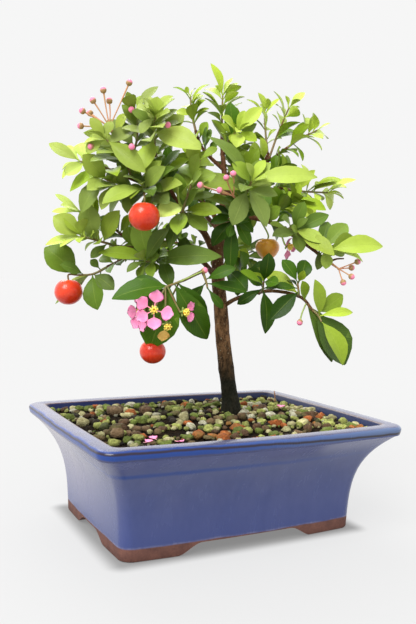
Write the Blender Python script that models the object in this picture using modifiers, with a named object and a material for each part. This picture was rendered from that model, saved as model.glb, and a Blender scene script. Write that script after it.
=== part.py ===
"""Barbados cherry bonsai in its glazed pot. Metres, +Z up, the pot's length along X.

The tree is drawn from its front. A point of it is (across, up, toward) in millimetres from
the foot of the trunk: across to the viewer's right, toward straight to the viewer.
"""
import math
import random

import bmesh
import bpy
from mathutils import Vector
from mathutils.bvhtree import BVHTree

MM = 0.001
GAP = 0.3 * MM

# Driving dimensions of the pot
RIM_LENGTH = 0.205
RIM_WIDTH = 0.163
BASE_LENGTH = 0.160
BASE_WIDTH = 0.111
POT_HEIGHT = 0.0711
WALL_TOP = 0.066
WALL = 0.0075
LEDGE = 0.011
FLOOR = 0.012
FOOT_HEIGHT = 0.007
LONG_FOOT = 0.032
SHORT_FOOT = 0.028
FOOT_RUN = 0.017
FOOT_BRACKET = 0.014
LONG_BOW = 0.055
SHORT_BOW = 0.012
RIM_CORNER = 0.009
BASE_CORNER = 0.007
DRAIN_RADIUS = 0.006
DRAIN_PLACE = 0.028
SCREEN_SIZE = 0.022
SCREEN_THICKNESS = 0.0009

# Driving dimensions of the tree
SOIL_LEVEL = 0.069
FOOT = Vector((0.0254, 0.0123, SOIL_LEVEL))
FRONT_TURN = math.radians(27.4)
SOIL_CROWN = 0.0024
GRAIN = 0.0014
ROOT_DEPTH = 0.028
TRUNK_RADIUS = 0.006
STUB_REACH = 0.0025
STUB_RADIUS = 0.0010
STEM_RADIUS = 0.00095
TIP_RADIUS = 0.0006
STALK_RADIUS = 0.0006
PEDICEL_RADIUS = 0.00045
STALK_BEND = 0.004
FLOWER_BEND = 0.0025
HUB_DEPTH = 0.0012
HUB_RADIUS = 0.0015
STAMENS = 5
STAMEN_HEIGHT = 0.0022
STAMEN_CROWN = 0.0011
STAMEN_SPREAD = 2.1
STAMEN_ROOM = 0.0026
PETAL_LENGTH = 0.0125
PETAL_WIDTH = 0.0076
PETAL_LIFT = 0.22
PETAL_ARCH = -0.06
PETAL_FOLD = 0.25
BUD_RADIUS = 0.0021
FRUIT_ROOM = 0.0004
FRUIT_HEIGHT = 0.94
DIMPLE = 0.2

# Leaves: thickness, how deep a root sinks, arch and fold as shares of length and half width
BLADE_THICKNESS = 0.0008
ROOT_SINK = 0.00025
LEAF_ARCH = 0.05
LEAF_FOLD = 0.1
KNOWN_TO_FRONT = 0.9
SHORT_LEAF = 0.021

# Opposite pairs: first and last place on the stem, angle to it there, sag, and how much
# the leaves at the tip shrink
FIRST_PAIR = 0.2
LAST_PAIR = 0.9
BASE_SPREAD = 64
TIP_SPREAD = 34
SAG = 0.16
TIP_SHRINK = 0.4
LENGTH_RANGE = (0.85, 1.12)
WIDTH_RANGE = (0.42, 0.52)

# Room kept between blades and other pieces, and in front of fruits and flowers
CLEAR = 0.0006
PETAL_CLEAR = 0.0002
OWN_CLEAR = 0.0003
SLEEVE = 1.35
FRONT_DEPTH = 0.060
VIEW_START = 0.014
VIEW_REACH = 0.070
VIEW_RADIUS = 6
FLAT_ANGLE = math.radians(1.5)
SEED = 11

ACROSS = Vector((math.cos(FRONT_TURN), -math.sin(FRONT_TURN), 0))
TOWARD = Vector((-math.sin(FRONT_TURN), -math.cos(FRONT_TURN), 0))
UP = Vector((0, 0, 1))

# The trunk: radius and place of each point, in millimetres
TRUNK = (
    (6.0, (0, -28, 0)), (6.0, (0, 1.5, 0)), (5.5, (-1.5, 12, 0)), (5.3, (-4, 29, 0)),
    (5.1, (-7.5, 55, 0)), (4.8, (-10, 78, 0)), (4.5, (-12, 98, 0)), (3.9, (-12, 113, 0)),
    (2.8, (-10, 140, -4)), (2.1, (-9, 163, -8)), (1.5, (-11, 184, -12)), (1.1, (-12, 202, -14)),
)

# Limbs: name, radius at either end in millimetres, and points
LIMBS = (
    ("left_limb", 2.6, 1.3,
     ((-12, 104, 0), (-22, 124, 8), (-32, 132, 16), (-44, 143, 26), (-55, 147, 36))),
    ("back_left_limb", 2.2, 1.1, ((-11, 118, 0), (-15, 137, -8), (-26, 150, -14), (-40, 164, -20))),
    ("right_arm", 2.1, 0.9,
     ((-10, 132, -3), (4, 137, 0), (17, 135, 4), (28, 131, 8), (47, 118, 16), (60, 108, 22))),
    ("low_right_arm", 1.7, 0.9,
     ((-10, 72, 0), (-5, 76, 4), (4, 81, 10), (23, 86, 20), (42, 83, 28), (50, 75, 32))),
    ("left_arm", 2.0, 1.0, ((-12, 92, 0), (-27, 107, 10), (-58, 111, 20), (-80, 113, 26))),
    ("left_arm_fork", 1.2, 0.9, ((-58, 111, 20), (-74, 105, 24), (-84, 100, 27))),
    ("front_arm", 1.7, 0.9, ((-12, 95, 0), (-16, 99, 14), (-22, 98, 32), (-33, 92, 50))),
    ("upper_right_limb", 1.9, 1.1, ((-9, 152, -6), (4, 168, -20), (18, 178, -30), (23, 186, -33))),
    ("right_fork", 1.2, 0.9, ((18, 178, -30), (27, 184, -31), (35, 190, -30))),
    ("right_bough", 1.7, 1.0, ((-9, 143, -5), (15, 155, -9), (32, 159, -10))),
    ("upper_left_twig", 1.4, 0.9, ((-9, 170, -9), (-24, 184, -10), (-30, 196, -11))),
    ("front_left_riser", 1.4, 1.0, ((-38, 138, 21), (-47, 155, 34), (-55, 172, 44))),
    ("left_bough", 1.4, 1.0, ((-44, 143, 26), (-60, 152, 36), (-74, 157, 43))),
    ("umbel_twig", 1.1, 0.9, ((-60, 152, 36), (-74, 172, 46), (-80, 181, 50))),
    ("left_riser", 1.1, 0.9, ((-66, 112, 22), (-76, 120, 27), (-84, 126, 31))),
    ("front_riser", 1.5, 1.0, ((-10, 126, -2), (-3, 136, 18), (3, 146, 36))),
    ("back_bough_left", 1.8, 1.0, ((-11, 126, -2), (-24, 142, -30), (-38, 152, -54))),
    ("back_bough_right", 1.8, 1.0, ((-10, 136, -4), (6, 148, -32), (22, 152, -58))),
    ("back_low_arm", 1.6, 0.9, ((-12, 100, 0), (-8, 110, -26), (2, 114, -52))),
    ("back_low_left", 1.5, 0.9, ((-12, 110, 0), (-32, 117, -24), (-54, 121, -44))),
    ("top_back_shoot", 1.3, 0.9, ((-9, 160, -8), (-3, 180, -32), (0, 192, -46))),
)

# Sprays: name, carrier, share of it, further points of the stem, pairs of leaves by the rule,
# their length in millimetres, the turn of the first pair in degrees, and the leaves whose tip
# is known: share of the stem, tip, width as a share of the length
SPRAYS = (
    ("spray_crown", "trunk", 1.0, ((-12, 213, -14), (-12, 224, -14)), 2, 17, 90,
     ((1.0, (-20, 246, -10), 0.34), (0.45, (-26, 225, -8), 0.5), (0.45, (3, 224, -12), 0.5),
      (1.0, (-7, 238, -12), 0.5), (1.0, (-2, 236, -19), 0.3))),
    ("spray_top_left", "upper_left_twig", 1.0, ((-34, 212, -13), (-35, 223, -14)), 2, 14, 90,
     ((0.9, (-46, 229, -9), 0.3), (0.8, (-23, 233, -14), 0.3), (0.4, (-22, 214, -8), 0.34))),
    ("spray_shoulder", "trunk", 0.9, ((-6, 192, -2), (-1, 194, 9)), 4, 20, 60,
     ((0.45, (-6, 216, 2), 0.5), (1.0, (15, 211, 10), 0.42), (0.9, (12, 188, 12), 0.5))),
    ("spray_upright", "upper_right_limb", 1.0, ((21, 205, -37), (20, 219, -40)), 2, 17, 0,
     ((1.0, (16, 234, -40), 0.55), (0.95, (8, 229, -36), 0.34), (0.95, (31, 230, -40), 0.34),
      (0.55, (10, 215, -30), 0.42))),
    ("spray_fork_top", "right_fork", 0.3, ((30, 202, -34), (37, 220, -30)), 1, 17, 60,
     ((0.8, (27, 233, -30), 0.4), (1.0, (48, 232, -28), 0.42), (1.0, (47, 225, -22), 0.3),
      (0.4, (44, 210, -22), 0.6))),
    ("spray_right_fork", "right_fork", 1.0, ((46, 198, -28), (58, 204, -26)), 0, 16, 90,
     ((0.5, (40, 214, -24), 0.46), (0.7, (51, 215, -27), 0.5), (0.6, (62, 190, -22), 0.46),
      (0.2, (49, 182, -22), 0.3), (1.0, (67, 209, -24), 0.3))),
    ("spray_right_upper", "right_bough", 1.0, ((45, 157, -8), (64, 156, -4)), 1, 20, 20,
     ((0.5, (47, 176, -6), 0.4), (0.95, (82, 167, -2), 0.26), (1.0, (77, 160, 2), 0.46),
      (0.5, (53, 139, -2), 0.5), (0.6, (71, 165, 4), 0.36), (0.2, (42, 141, -2), 0.3))),
    ("spray_right_inner", "right_bough", 0.55, ((22, 166, -18), (34, 173, -26)), 4, 24, 20, ()),
    ("spray_centre", "front_riser", 1.0, ((5, 151, 43), (7, 155, 49)), 3, 25, 45,
     ((0.8, (-18, 184, 53), 0.24), (1.0, (48, 160, 52), 0.3), (0.9, (15, 169, 48), 0.42),
      (0.3, (-36, 161, 48), 0.28), (0.4, (-5, 128, 50), 0.5), (0.5, (17, 127, 46), 0.46))),
    ("spray_inner_front", "front_riser", 0.5, ((-3, 135, 24), (-4, 131, 29)), 2, 22, 30,
     ((0.8, (-5, 98, 26), 0.3), (0.7, (-16, 115, 33), 0.5), (0.3, (9, 116, 26), 0.36))),
    ("spray_mid_pale", "front_left_riser", 1.0, ((-55, 184, 52), (-54, 192, 57)), 6, 27, 70,
     ((0.8, (-52, 203, 61), 0.62), (0.5, (-26, 171, 66), 0.46), (1.0, (-63, 181, 60), 0.55),
      (0.3, (-62, 158, 62), 0.5))),
    ("spray_upper_left", "umbel_twig", 0.5, ((-66, 182, 46), (-67, 197, 49)), 6, 26, 40,
     ((1.0, (-54, 213, 50), 0.42), (0.6, (-84, 176, 54), 0.5), (0.2, (-72, 157, 57), 0.5))),
    ("spray_left_shoot", "left_bough", 1.0, ((-90, 163, 46), (-102, 165, 46)), 2, 24, 0,
     ((1.0, (-122, 177, 46), 0.34), (1.0, (-113, 154, 48), 0.36), (0.4, (-108, 147, 50), 0.42))),
    ("spray_left_mid", "left_bough", 0.5, ((-74, 149, 42), (-87, 155, 46)), 6, 27, 45,
     ((1.0, (-101, 133, 48), 0.46), (0.7, (-88, 135, 50), 0.46), (0.9, (-94, 172, 56), 0.56))),
    ("spray_left_upper", "left_bough", 0.8, ((-74, 168, 52), (-84, 177, 58)), 5, 26, 45,
     ((0.95, (-54, 165, 67), 0.36), (1.0, (-96, 169, 60), 0.6))),
    ("spray_left_thin", "left_riser", 1.0, ((-94, 131, 33), (-103, 134, 33)), 1, 22, 0,
     ((1.0, (-121, 145, 32), 0.22), (1.0, (-122, 134, 34), 0.26), (0.3, (-99, 150, 34), 0.4))),
    ("spray_left_green", "left_arm", 1.0, ((-92, 116, 33), (-101, 118, 39)), 1, 26, 90,
     ((1.0, (-118, 131, 44), 0.66), (0.6, (-97, 139, 44), 0.6), (0.3, (-74, 136, 38), 0.5),
      (1.0, (-124, 112, 42), 0.36))),
    ("spray_cherry_left", "left_arm_fork", 1.0, ((-95, 94, 29), (-105, 93, 31)), 1, 22, 90,
     ((1.0, (-126, 111, 34), 0.72), (0.5, (-80, 86, 38), 0.6), (0.5, (-97, 70, 34), 0.6),
      (0.6, (-126, 74, 12), 0.36), (0.8, (-114, 99, 42), 0.5))),
    ("spray_inner_left", "left_arm", 0.55, ((-54, 104, 28), (-60, 103, 36)), 4, 26, 45,
     ((0.8, (-90, 109, 38), 0.34), (0.5, (-12, 110, 40), 0.32), (0.8, (-66, 131, 42), 0.5),
      (1.0, (-46, 124, 52), 0.46))),
    ("spray_flowers", "front_arm", 1.0, ((-40, 89, 57), (-45, 87, 61)), 0, 24, 0,
     ((0.8, (-78, 81, 60), 0.46), (0.5, (-20, 53, 63), 0.42), (0.3, (-18, 69, 50), 0.36),
      (0.7, (-54, 47, 57), 0.55), (0.9, (-70, 90, 50), 0.4))),
    ("spray_front_low", "front_arm", 0.6, ((-20, 91, 40), (-19, 87, 47)), 0, 22, 0,
     ((1.0, (-9, 74, 48), 0.34), (0.5, (-34, 74, 36), 0.4), (0.6, (7, 86, 36), 0.3),
      (0.3, (-2, 100, 46), 0.4), (0.1, (-29, 94, 22), 0.36))),
    ("spray_bright", "left_limb", 0.6, ((-36, 136, 46), (-31, 152, 48), (-26, 168, 46)), 6, 25, 30,
     ((0.46, (-50, 131, 58), 0.7), (0.3, (-12, 136, 52), 0.4), (0.1, (-44, 114, 50), 0.42))),
    ("spray_fruit_front", "left_limb", 1.0, ((-58, 148, 46), (-61, 148, 54)), 4, 27, 40,
     ((1.0, (-84, 138, 66), 0.5), (0.8, (-60, 163, 66), 0.5), (0.3, (-38, 152, 60), 0.45))),
    ("spray_right_pale", "right_arm", 0.86, ((56, 116, 26), (61, 114, 32)), 0, 24, 0,
     ((1.0, (96, 119, 32), 0.38), (1.0, (84, 109, 30), 0.24), (0.6, (72, 133, 24), 0.55),
      (0.3, (61, 134, 20), 0.5), (0.2, (54, 101, 24), 0.5))),
    ("spray_right_mid", "right_arm", 0.55, ((38, 128, 18), (42, 124, 25)), 0, 27, 90,
     ((0.5, (59, 119, 28), 0.45), (0.9, (62, 110, 38), 0.42), (0.8, (23, 122, 34), 0.46),
      (0.6, (61, 139, 20), 0.4), (0.1, (22, 132, 18), 0.4))),
    ("spray_right_top", "right_arm", 0.4, ((28, 141, 4), (38, 148, 6)), 2, 26, 20,
     ((1.0, (61, 144, 10), 0.4), (0.5, (49, 137, 18), 0.34), (0.9, (53, 137, 0), 0.5),
      (0.0, (7, 114, 14), 0.24))),
    ("spray_inner_right", "trunk", 0.552, ((2, 97, 14), (8, 99, 19)), 0, 27, 0,
     ((1.0, (20, 105, 25), 0.34), (0.2, (7, 86, 26), 0.5), (0.6, (6, 115, 12), 0.5),
      (1.0, (19, 93, 20), 0.4))),
    ("spray_low_right_in", "low_right_arm", 0.45, ((18, 86, 24), (18, 92, 30)), 0, 26, 0,
     ((0.4, (21, 58, 30), 0.42), (0.5, (1, 77, 27), 0.36), (1.0, (20, 110, 44), 0.45),
      (0.8, (2, 98, 34), 0.4))),
    ("spray_low_right_mid", "low_right_arm", 0.83, ((41, 85, 34), (40, 92, 34)), 0, 24, 0,
     ((0.4, (22, 68, 40), 0.44), (1.0, (30, 107, 35), 0.55), (0.9, (41, 108, 30), 0.62),
      (0.6, (24, 90, 36), 0.34), (0.1, (20, 99, 22), 0.42), (1.0, (43, 99, 42), 0.5))),
    ("spray_low_right_tip", "low_right_arm", 1.0, ((54, 71, 35), (56, 67, 37)), 0, 22, 0,
     ((0.1, (74, 38, 31), 0.62), (1.0, (69, 41, 49), 0.46), (0.6, (53, 94, 42), 0.46),
      (0.2, (72, 84, 28), 0.5), (0.5, (77, 75, 34), 0.28))),
    ("spray_back_left", "back_left_limb", 1.0, ((-50, 172, -26), (-62, 179, -30)), 6, 27, 0, ()),
    ("spray_upper_back", "back_left_limb", 0.6, ((-29, 168, -12), (-32, 184, -6)), 6, 25, 30, ()),
    ("spray_rear_left", "back_bough_left", 1.0, ((-48, 158, -66), (-57, 163, -76)), 6, 30, 45, ()),
    ("spray_rear_right", "back_bough_right", 1.0, ((32, 156, -68), (43, 160, -76)), 6, 30, 45, ()),
    ("spray_rear_top", "back_bough_right", 0.55, ((8, 164, -46), (10, 178, -54)), 5, 27, 45, ()),
    ("spray_rear_low", "back_low_arm", 1.0, ((8, 112, -62), (15, 106, -72)), 5, 30, 45, ()),
    ("spray_low_left_back", "back_low_left", 1.0, ((-64, 122, -53), (-74, 121, -59)), 6, 30, 45, ()),
    ("spray_top_back", "top_back_shoot", 1.0, ((1, 203, -54), (2, 213, -58)), 4, 21, 45, ()),
)

# Fruits: name, carrier, share of it, centre, radius in millimetres, narrowing from shoulder to tip
FRUITS = (
    ("cherry_front", "spray_fruit_front", 0.9, (-59, 130, 63), 9.6, 0.0),
    ("cherry_left", "spray_cherry_left", 1.0, (-110, 82, 35), 9.2, 0.0),
    ("cherry_low", "spray_flowers", 0.2, (-53, 45.5, 47), 8.4, 0.0),
    ("cherry_ochre", "right_arm", 0.33, (22, 115, 3), 8.2, 0.2),
)

# Flowers: name, carrier, share of it, centre, direction it faces, turns of its petals in degrees,
# and their size
FLOWERS = (
    ("flower_front", "spray_flowers", 1.0, (-51, 73, 71), (0.1, 0.1, 1.0), (81, -14, -88, -150, 152), 1.0),
    ("flower_left", "spray_flowers", 0.9, (-59, 71, 61), (-0.8, -0.1, 0.7), (92, 180, -125, -72), 1.0),
    ("flower_low", "spray_flowers", 1.0, (-43, 64, 68), (0.3, -0.6, 0.8), (-100, -170), 0.9),
    ("flower_spent", "spray_flowers", 0.9, (-33, 72, 64), (0.8, -0.1, 0.6), (38, -30), 0.74),
    ("flower_right", "right_arm", 0.5, (35, 117, 16), (0.8, -0.5, 0.5), (0, -70, 70, 150), 0.8),
)

# Bunches of buds: name, carrier, share of it, point where the stalks part, and the buds
UMBELS = (
    ("buds_left", "umbel_twig", 1.0, (-83, 186, 52), (
        (-71, 213, 54), (-87, 208, 54), (-93, 201, 56), (-84, 203, 48), (-99, 194, 58),
        (-101, 186, 52), (-96, 195, 48))),
    ("buds_right", "right_arm", 1.0, (68, 102, 26), (
        (80, 107, 28), (77, 103, 24), (76, 97, 30), (71, 93, 28))),
    ("buds_centre", "front_riser", 0.8, (-4, 146, 44), (
        (-5, 158, 58), (-9, 156, 54), (-13, 148, 56), (-25, 150, 62))),
)


def place(point):
    """A point of the tree, given in millimetres from its foot, in the pot's frame."""
    across, up, toward = point
    return FOOT + MM * (across * ACROSS + up * UP + toward * TOWARD)


def heading(direction):
    """A direction of the tree in the pot's frame, of length one."""
    across, up, toward = direction
    return (across * ACROSS + up * UP + toward * TOWARD).normalized()


def along(points, share):
    """The point at a share of a path's length, and the path's direction there."""
    lengths = [(b - a).length for a, b in zip(points, points[1:])]
    left = share * sum(lengths)
    for a, b, length in zip(points, points[1:], lengths):
        if left <= length:
            return a.lerp(b, left / length), (b - a).normalized()
        left -= length
    return points[-1].copy(), (points[-1] - points[-2]).normalized()


def across_of(direction):
    """A level direction square to the given one."""
    side = direction.cross(UP)
    return side.normalized() if side.length > 0.1 else ACROSS.copy()


def leaf_outline(s):
    """Half width of a leaf, as a share of its widest, at a share s of its length."""
    return max(math.sin(math.pi * min(s, 1) ** 1.25), 0) ** 0.72


def petal_outline(s):
    """Half width of a petal: a narrow claw that opens into a round blade."""
    return max(math.sin(math.pi * min(s, 1) ** 2.4), 0) ** 0.6


def blade_template(rings):
    """A three-sided sphere as (share of length, across, below) of each corner: two edges and a keel."""
    bm = bmesh.new()
    bmesh.ops.create_uvsphere(bm, u_segments=3, v_segments=rings + 1, radius=1)
    bmesh.ops.triangulate(bm, faces=bm.faces)
    bm.verts.index_update()
    spots = []
    for vert in bm.verts:
        share = ((1 + vert.co.z) / 2) ** 0.85
        if math.hypot(vert.co.x, vert.co.y) < 0.1:
            spots.append((share, 0, 0))
        elif abs(vert.co.x) < 0.1:
            spots.append((share, 0, -1))
        else:
            spots.append((share, -math.copysign(1, vert.co.x), 0))
    faces = [[v.index for v in face.verts] for face in bm.faces]
    bm.free()
    return spots, faces


LARGE_BLADE = blade_template(3)
SMALL_BLADE = blade_template(2)


def template_of(blade):
    """A long leaf and a petal have three rings of corners, a short leaf two."""
    base, tip, outline = blade[0], blade[1], blade[-1]
    short = (tip - base).length < SHORT_LEAF and outline is leaf_outline
    return SMALL_BLADE if short else LARGE_BLADE


def blade_points(blade, extra=0.0, lower=0.0):
    """The corners of a blade: (base, tip, face, width, arch, fold, outline), grown by extra and lowered."""
    base, tip, face, width, arch, fold, outline = blade
    ahead = (tip - base).normalized()
    base = base - ahead * ROOT_SINK
    length = (tip - base).length
    side = face.cross(ahead)
    points = []
    for s, x, y in template_of(blade)[0]:
        half = 0.5 * width * outline(s) + (extra if 0 < s < 1 else 0)
        rise = arch * length * 4 * s * (1 - s) + fold * abs(x) * half
        rise += y * (BLADE_THICKNESS + extra) + extra - lower
        points.append(base + ahead * (s * length + (2 * s - 1) * extra) + side * (x * half) + face * rise)
    return points


def facing(base, tip, hint):
    """The part of a hint that is square to the line from base to tip."""
    ahead = (tip - base).normalized()
    face = hint - ahead * hint.dot(ahead)
    return face.normalized() if face.length > 0.05 else across_of(ahead)


def light_hint(base):
    """Where a leaf turns its face: up, outwards from the trunk and, on the front half, to the viewer."""
    outward = base - place((-8, 0, 0))
    outward.z = 0
    front = min(max(0.5 + outward.dot(TOWARD) / FRONT_DEPTH, 0), 1)
    return UP + 0.6 * outward.normalized() + 0.7 * front * TOWARD


def open_views():
    """Sleeves before the fruits and flowers in which no pair grows, so that the front shows them."""
    seen = [(centre, 0.9 * radius) for name, _, _, centre, radius, _ in FRUITS if name != "cherry_low"]
    seen += [(centre, VIEW_RADIUS) for _, _, _, centre, *_ in FLOWERS]
    sleeves = []
    for centre, radius in seen:
        start = place(centre) + TOWARD * VIEW_START
        path = [start, start + TOWARD * VIEW_REACH]
        sleeves.append(("view", "tube", tube_tree(path, [radius * MM] * 2)))
    return sleeves


def tube_tree(points, radii):
    """A search tree of an open four-sided sleeve round a path."""
    verts, faces = [], []
    for i, point in enumerate(points):
        radius = radii[i] * SLEEVE
        ahead = (points[min(i + 1, len(points) - 1)] - points[max(i - 1, 0)]).normalized()
        side = across_of(ahead)
        other = ahead.cross(side)
        verts += [point + radius * side, point + radius * other, point - radius * side, point - radius * other]
    for i in range(len(points) - 1):
        for j in range(4):
            k = (j + 1) % 4
            faces.append((4 * i + j, 4 * i + k, 4 * i + 4 + k, 4 * i + 4 + j))
    return BVHTree.FromPolygons(verts, faces)


def ball_tree(centre, radius):
    """A search tree of a sphere."""
    bm = bmesh.new()
    bmesh.ops.create_uvsphere(bm, u_segments=10, v_segments=8, radius=radius)
    bmesh.ops.translate(bm, vec=centre, verts=bm.verts)
    tree = BVHTree.FromBMesh(bm)
    bm.free()
    return tree


def blade_tree(blade, extra, lower=0.0):
    return BVHTree.FromPolygons(blade_points(blade, extra, lower), template_of(blade)[1])


def outer_part(blade):
    """The blade without the fifth nearest its root."""
    base, tip = blade[0], blade[1]
    return (base.lerp(tip, 0.2), *blade[1:])


def fits(blade, node, taken, clear=CLEAR):
    """Whether a blade stays clear of every other node, and its outer part of its own node's blades."""
    above = blade_tree(blade, clear)
    below = blade_tree(blade, clear, 2 * clear)
    outer = blade_tree(outer_part(blade), OWN_CLEAR)
    for owner, kind, tree in taken:
        if owner != node and (above.overlap(tree) or below.overlap(tree)):
            return False
        if owner == node and kind == "blade" and outer.overlap(tree):
            return False
    return True


def try_leaf(base, ahead, length, width, node, taken, to_front=0.0):
    """The first of a row of turns and sizes of a leaf that fits, or nothing."""
    hint = light_hint(base) + to_front * TOWARD
    side = across_of(ahead)
    upward = side.cross(ahead)
    for size in (1.0, 0.85, 0.7):
        for turn, lift in ((0, 0), (0.3, 0), (-0.3, 0), (0, 0.3), (0, -0.3), (0.5, 0.3), (-0.5, 0.3),
                           (0.6, -0.3), (-0.6, -0.3), (0.9, 0), (-0.9, 0)):
            way = (ahead + turn * side + lift * upward).normalized()
            tip = base + way * length * size
            blade = (base, tip, facing(base, tip, hint), width * size, LEAF_ARCH, LEAF_FOLD, leaf_outline)
            if fits(blade, node, taken):
                return blade
    return None


def lay_out_paths():
    """Every limb, stem and stalk: name to (points, radius at each point, node, sides)."""
    paths = {"trunk": ([place(p) for _, p in TRUNK], [radius * MM for radius, _ in TRUNK], "trunk", 8)}
    for name, start, end, points in LIMBS:
        sides = 6 if start > 1.5 else 4
        paths[name] = ([place(p) for p in points], taper(start * MM, end * MM, len(points)), "trunk", sides)
    for name, carrier, share, points, *_ in SPRAYS:
        seat(paths, name, carrier, share, [place(p) for p in points], STEM_RADIUS, TIP_RADIUS)
    for name, carrier, share, parting, _ in UMBELS:
        seat(paths, name, carrier, share, [place(parting)], STEM_RADIUS, STALK_RADIUS)
    for name, carrier, share, centre, radius, _ in FRUITS:
        end = place(centre) + UP * (fruit_dimple(radius) + GAP)
        hang(paths, name, carrier, share, end)
    for name, carrier, share, centre, direction, _, _ in FLOWERS:
        back = place(centre) - heading(direction) * (HUB_DEPTH / 2 + GAP)
        points = [along(paths[carrier][0], share)[0], back - heading(direction) * FLOWER_BEND, back]
        radii = [STALK_RADIUS, STALK_RADIUS, 1.4 * STALK_RADIUS]
        paths[name + "_stalk"] = (points, radii, paths[carrier][2], 4)
    return paths


def taper(start, end, count):
    """A radius for each point of a path, from start to end."""
    return [start + (end - start) * i / (count - 1) for i in range(count)]


def seat(paths, name, carrier, share, points, start, end):
    """A stub on the carrier towards the first point, and a stem of its own node that stands on the stub.

    At the carrier's very end the carrier itself is drawn out into the stub.
    """
    line, radii, node, _ = paths[carrier]
    root, _ = along(line, share)
    way = (points[0] - root).normalized()
    if share == 1:
        seat_point = root + way * STUB_REACH
        line.append(seat_point)
        radii.append(STUB_RADIUS)
    else:
        reach = radii[0] + (radii[-1] - radii[0]) * share + STUB_REACH
        seat_point = root + way * reach
        paths[name + "_stub"] = ([root, seat_point], [STUB_RADIUS] * 2, node, 4)
    stem = [seat_point + way * GAP, *points]
    paths[name] = (stem, taper(start, end, len(stem)), name, 4)


def hang(paths, name, carrier, share, end):
    """A fruit's stalk: out from its carrier and down into the fruit's hollow."""
    root, _ = along(paths[carrier][0], share)
    bend = end + UP * STALK_BEND
    paths[name + "_stalk"] = ([root, bend, end], [STALK_RADIUS] * 3, paths[carrier][2], 4)


def fruit_dimple(radius):
    """Height of the bottom of a fruit's hollow above its centre, in metres."""
    return (FRUIT_HEIGHT - DIMPLE) * radius * MM


def flower_axes(direction):
    face = heading(direction)
    side = UP.cross(face).normalized()
    return face, side, face.cross(side)


def fixed_pieces(paths):
    """What the blades must stay clear of: (node, kind, search tree) of each tube and ball."""
    taken = [(node, "tube", tube_tree(points, radii)) for points, radii, node, _ in paths.values()]
    for name, _, _, centre, radius, _ in FRUITS:
        taken.append((name, "ball", ball_tree(place(centre), radius * MM + FRUIT_ROOM)))
    for name, _, _, centre, *_ in FLOWERS:
        taken.append((name + "_stamens", "ball", ball_tree(place(centre), STAMEN_ROOM)))
    for name, _, _, parting, buds in UMBELS:
        for bud in buds:
            taken.append((name, "ball", ball_tree(place(bud), BUD_RADIUS)))
            taken.append((name, "tube", tube_tree([place(parting), place(bud)], [PEDICEL_RADIUS] * 2)))
    return taken


def keep(blade, name, blades, taken):
    blades.setdefault(name, []).append(blade)
    taken.append((name, "blade", blade_tree(blade, 0)))


def grow_petals(blades, taken):
    for name, _, _, centre, direction, turns, size in FLOWERS:
        face, side, top = flower_axes(direction)
        for turn in turns:
            angle = math.radians(turn)
            way = (side * math.cos(angle) + top * math.sin(angle) + PETAL_LIFT * face).normalized()
            base = place(centre)
            tip = base + way * PETAL_LENGTH * size
            face_on = facing(base, tip, face)
            blade = (base, tip, face_on, PETAL_WIDTH * size, PETAL_ARCH, PETAL_FOLD, petal_outline)
            others = [item for item in taken if item[0] != name + "_stamens"]
            if fits(blade, name, others, PETAL_CLEAR):
                keep(blade, name, blades, taken)


def grow_known_leaves(paths, blades, taken):
    for name, _, _, _, _, _, _, known in SPRAYS:
        for share, tip, width in known:
            base, _ = along(paths[name][0], share)
            ahead = place(tip) - base
            length = ahead.length
            blade = try_leaf(base, ahead.normalized(), length, width * length, name, taken, KNOWN_TO_FRONT)
            if blade:
                keep(blade, name, blades, taken)


def grow_pairs(paths, blades, taken):
    """Opposite pairs up each stem, every pair square to the one below, and a last pair at the tip."""
    rng = random.Random(SEED)
    for name, _, _, _, pairs, length, phase, _ in SPRAYS:
        for pair in range(pairs):
            share = 1.0 if pair == pairs - 1 else FIRST_PAIR + (LAST_PAIR - FIRST_PAIR) * pair / (pairs - 1)
            base, ahead = along(paths[name][0], share)
            side = across_of(ahead)
            top = side.cross(ahead)
            angle = math.radians(phase + 90 * pair)
            spread = math.radians(BASE_SPREAD + (TIP_SPREAD - BASE_SPREAD) * share)
            for turn in (angle, angle + math.pi):
                out = side * math.cos(turn) + top * math.sin(turn)
                way = ahead * math.cos(spread) + out * math.sin(spread) - SAG * (1 - share) * UP
                size = length * MM * (1 - TIP_SHRINK * share) * rng.uniform(*LENGTH_RANGE)
                blade = try_leaf(base, way.normalized(), size, size * rng.uniform(*WIDTH_RANGE), name, taken)
                if blade:
                    keep(blade, name, blades, taken)


def grow():
    """The paths, and for each node the blades that it carries."""
    paths = lay_out_paths()
    taken = fixed_pieces(paths)
    blades = {}
    grow_petals(blades, taken)
    grow_known_leaves(paths, blades, taken)
    taken += open_views()
    grow_pairs(paths, blades, taken)
    return paths, blades


def clear_scene():
    for item in list(bpy.data.objects):
        bpy.data.objects.remove(item, do_unlink=True)


def new_collection(name):
    group = bpy.data.collections.new(name)
    bpy.context.scene.collection.children.link(group)
    return group


def material(name, colour, roughness, coat=0.0):
    made = bpy.data.materials.new(name)
    made.use_nodes = True
    shader = made.node_tree.nodes["Principled BSDF"]
    shader.inputs["Base Color"].default_value = (*colour, 1)
    shader.inputs["Roughness"].default_value = roughness
    shader.inputs["Coat Weight"].default_value = coat
    return made


def add_object(name, mesh, group, surface=None):
    item = bpy.data.objects.new(name, mesh)
    group.objects.link(item)
    if surface:
        mesh.materials.clear()
        mesh.materials.append(surface)
    return item


def mesh_from(bm, name):
    mesh = bpy.data.meshes.new(name)
    bm.to_mesh(mesh)
    bm.free()
    return mesh


def evaluated_mesh(item):
    graph = bpy.context.evaluated_depsgraph_get()
    return bpy.data.meshes.new_from_object(item.evaluated_get(graph))


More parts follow.
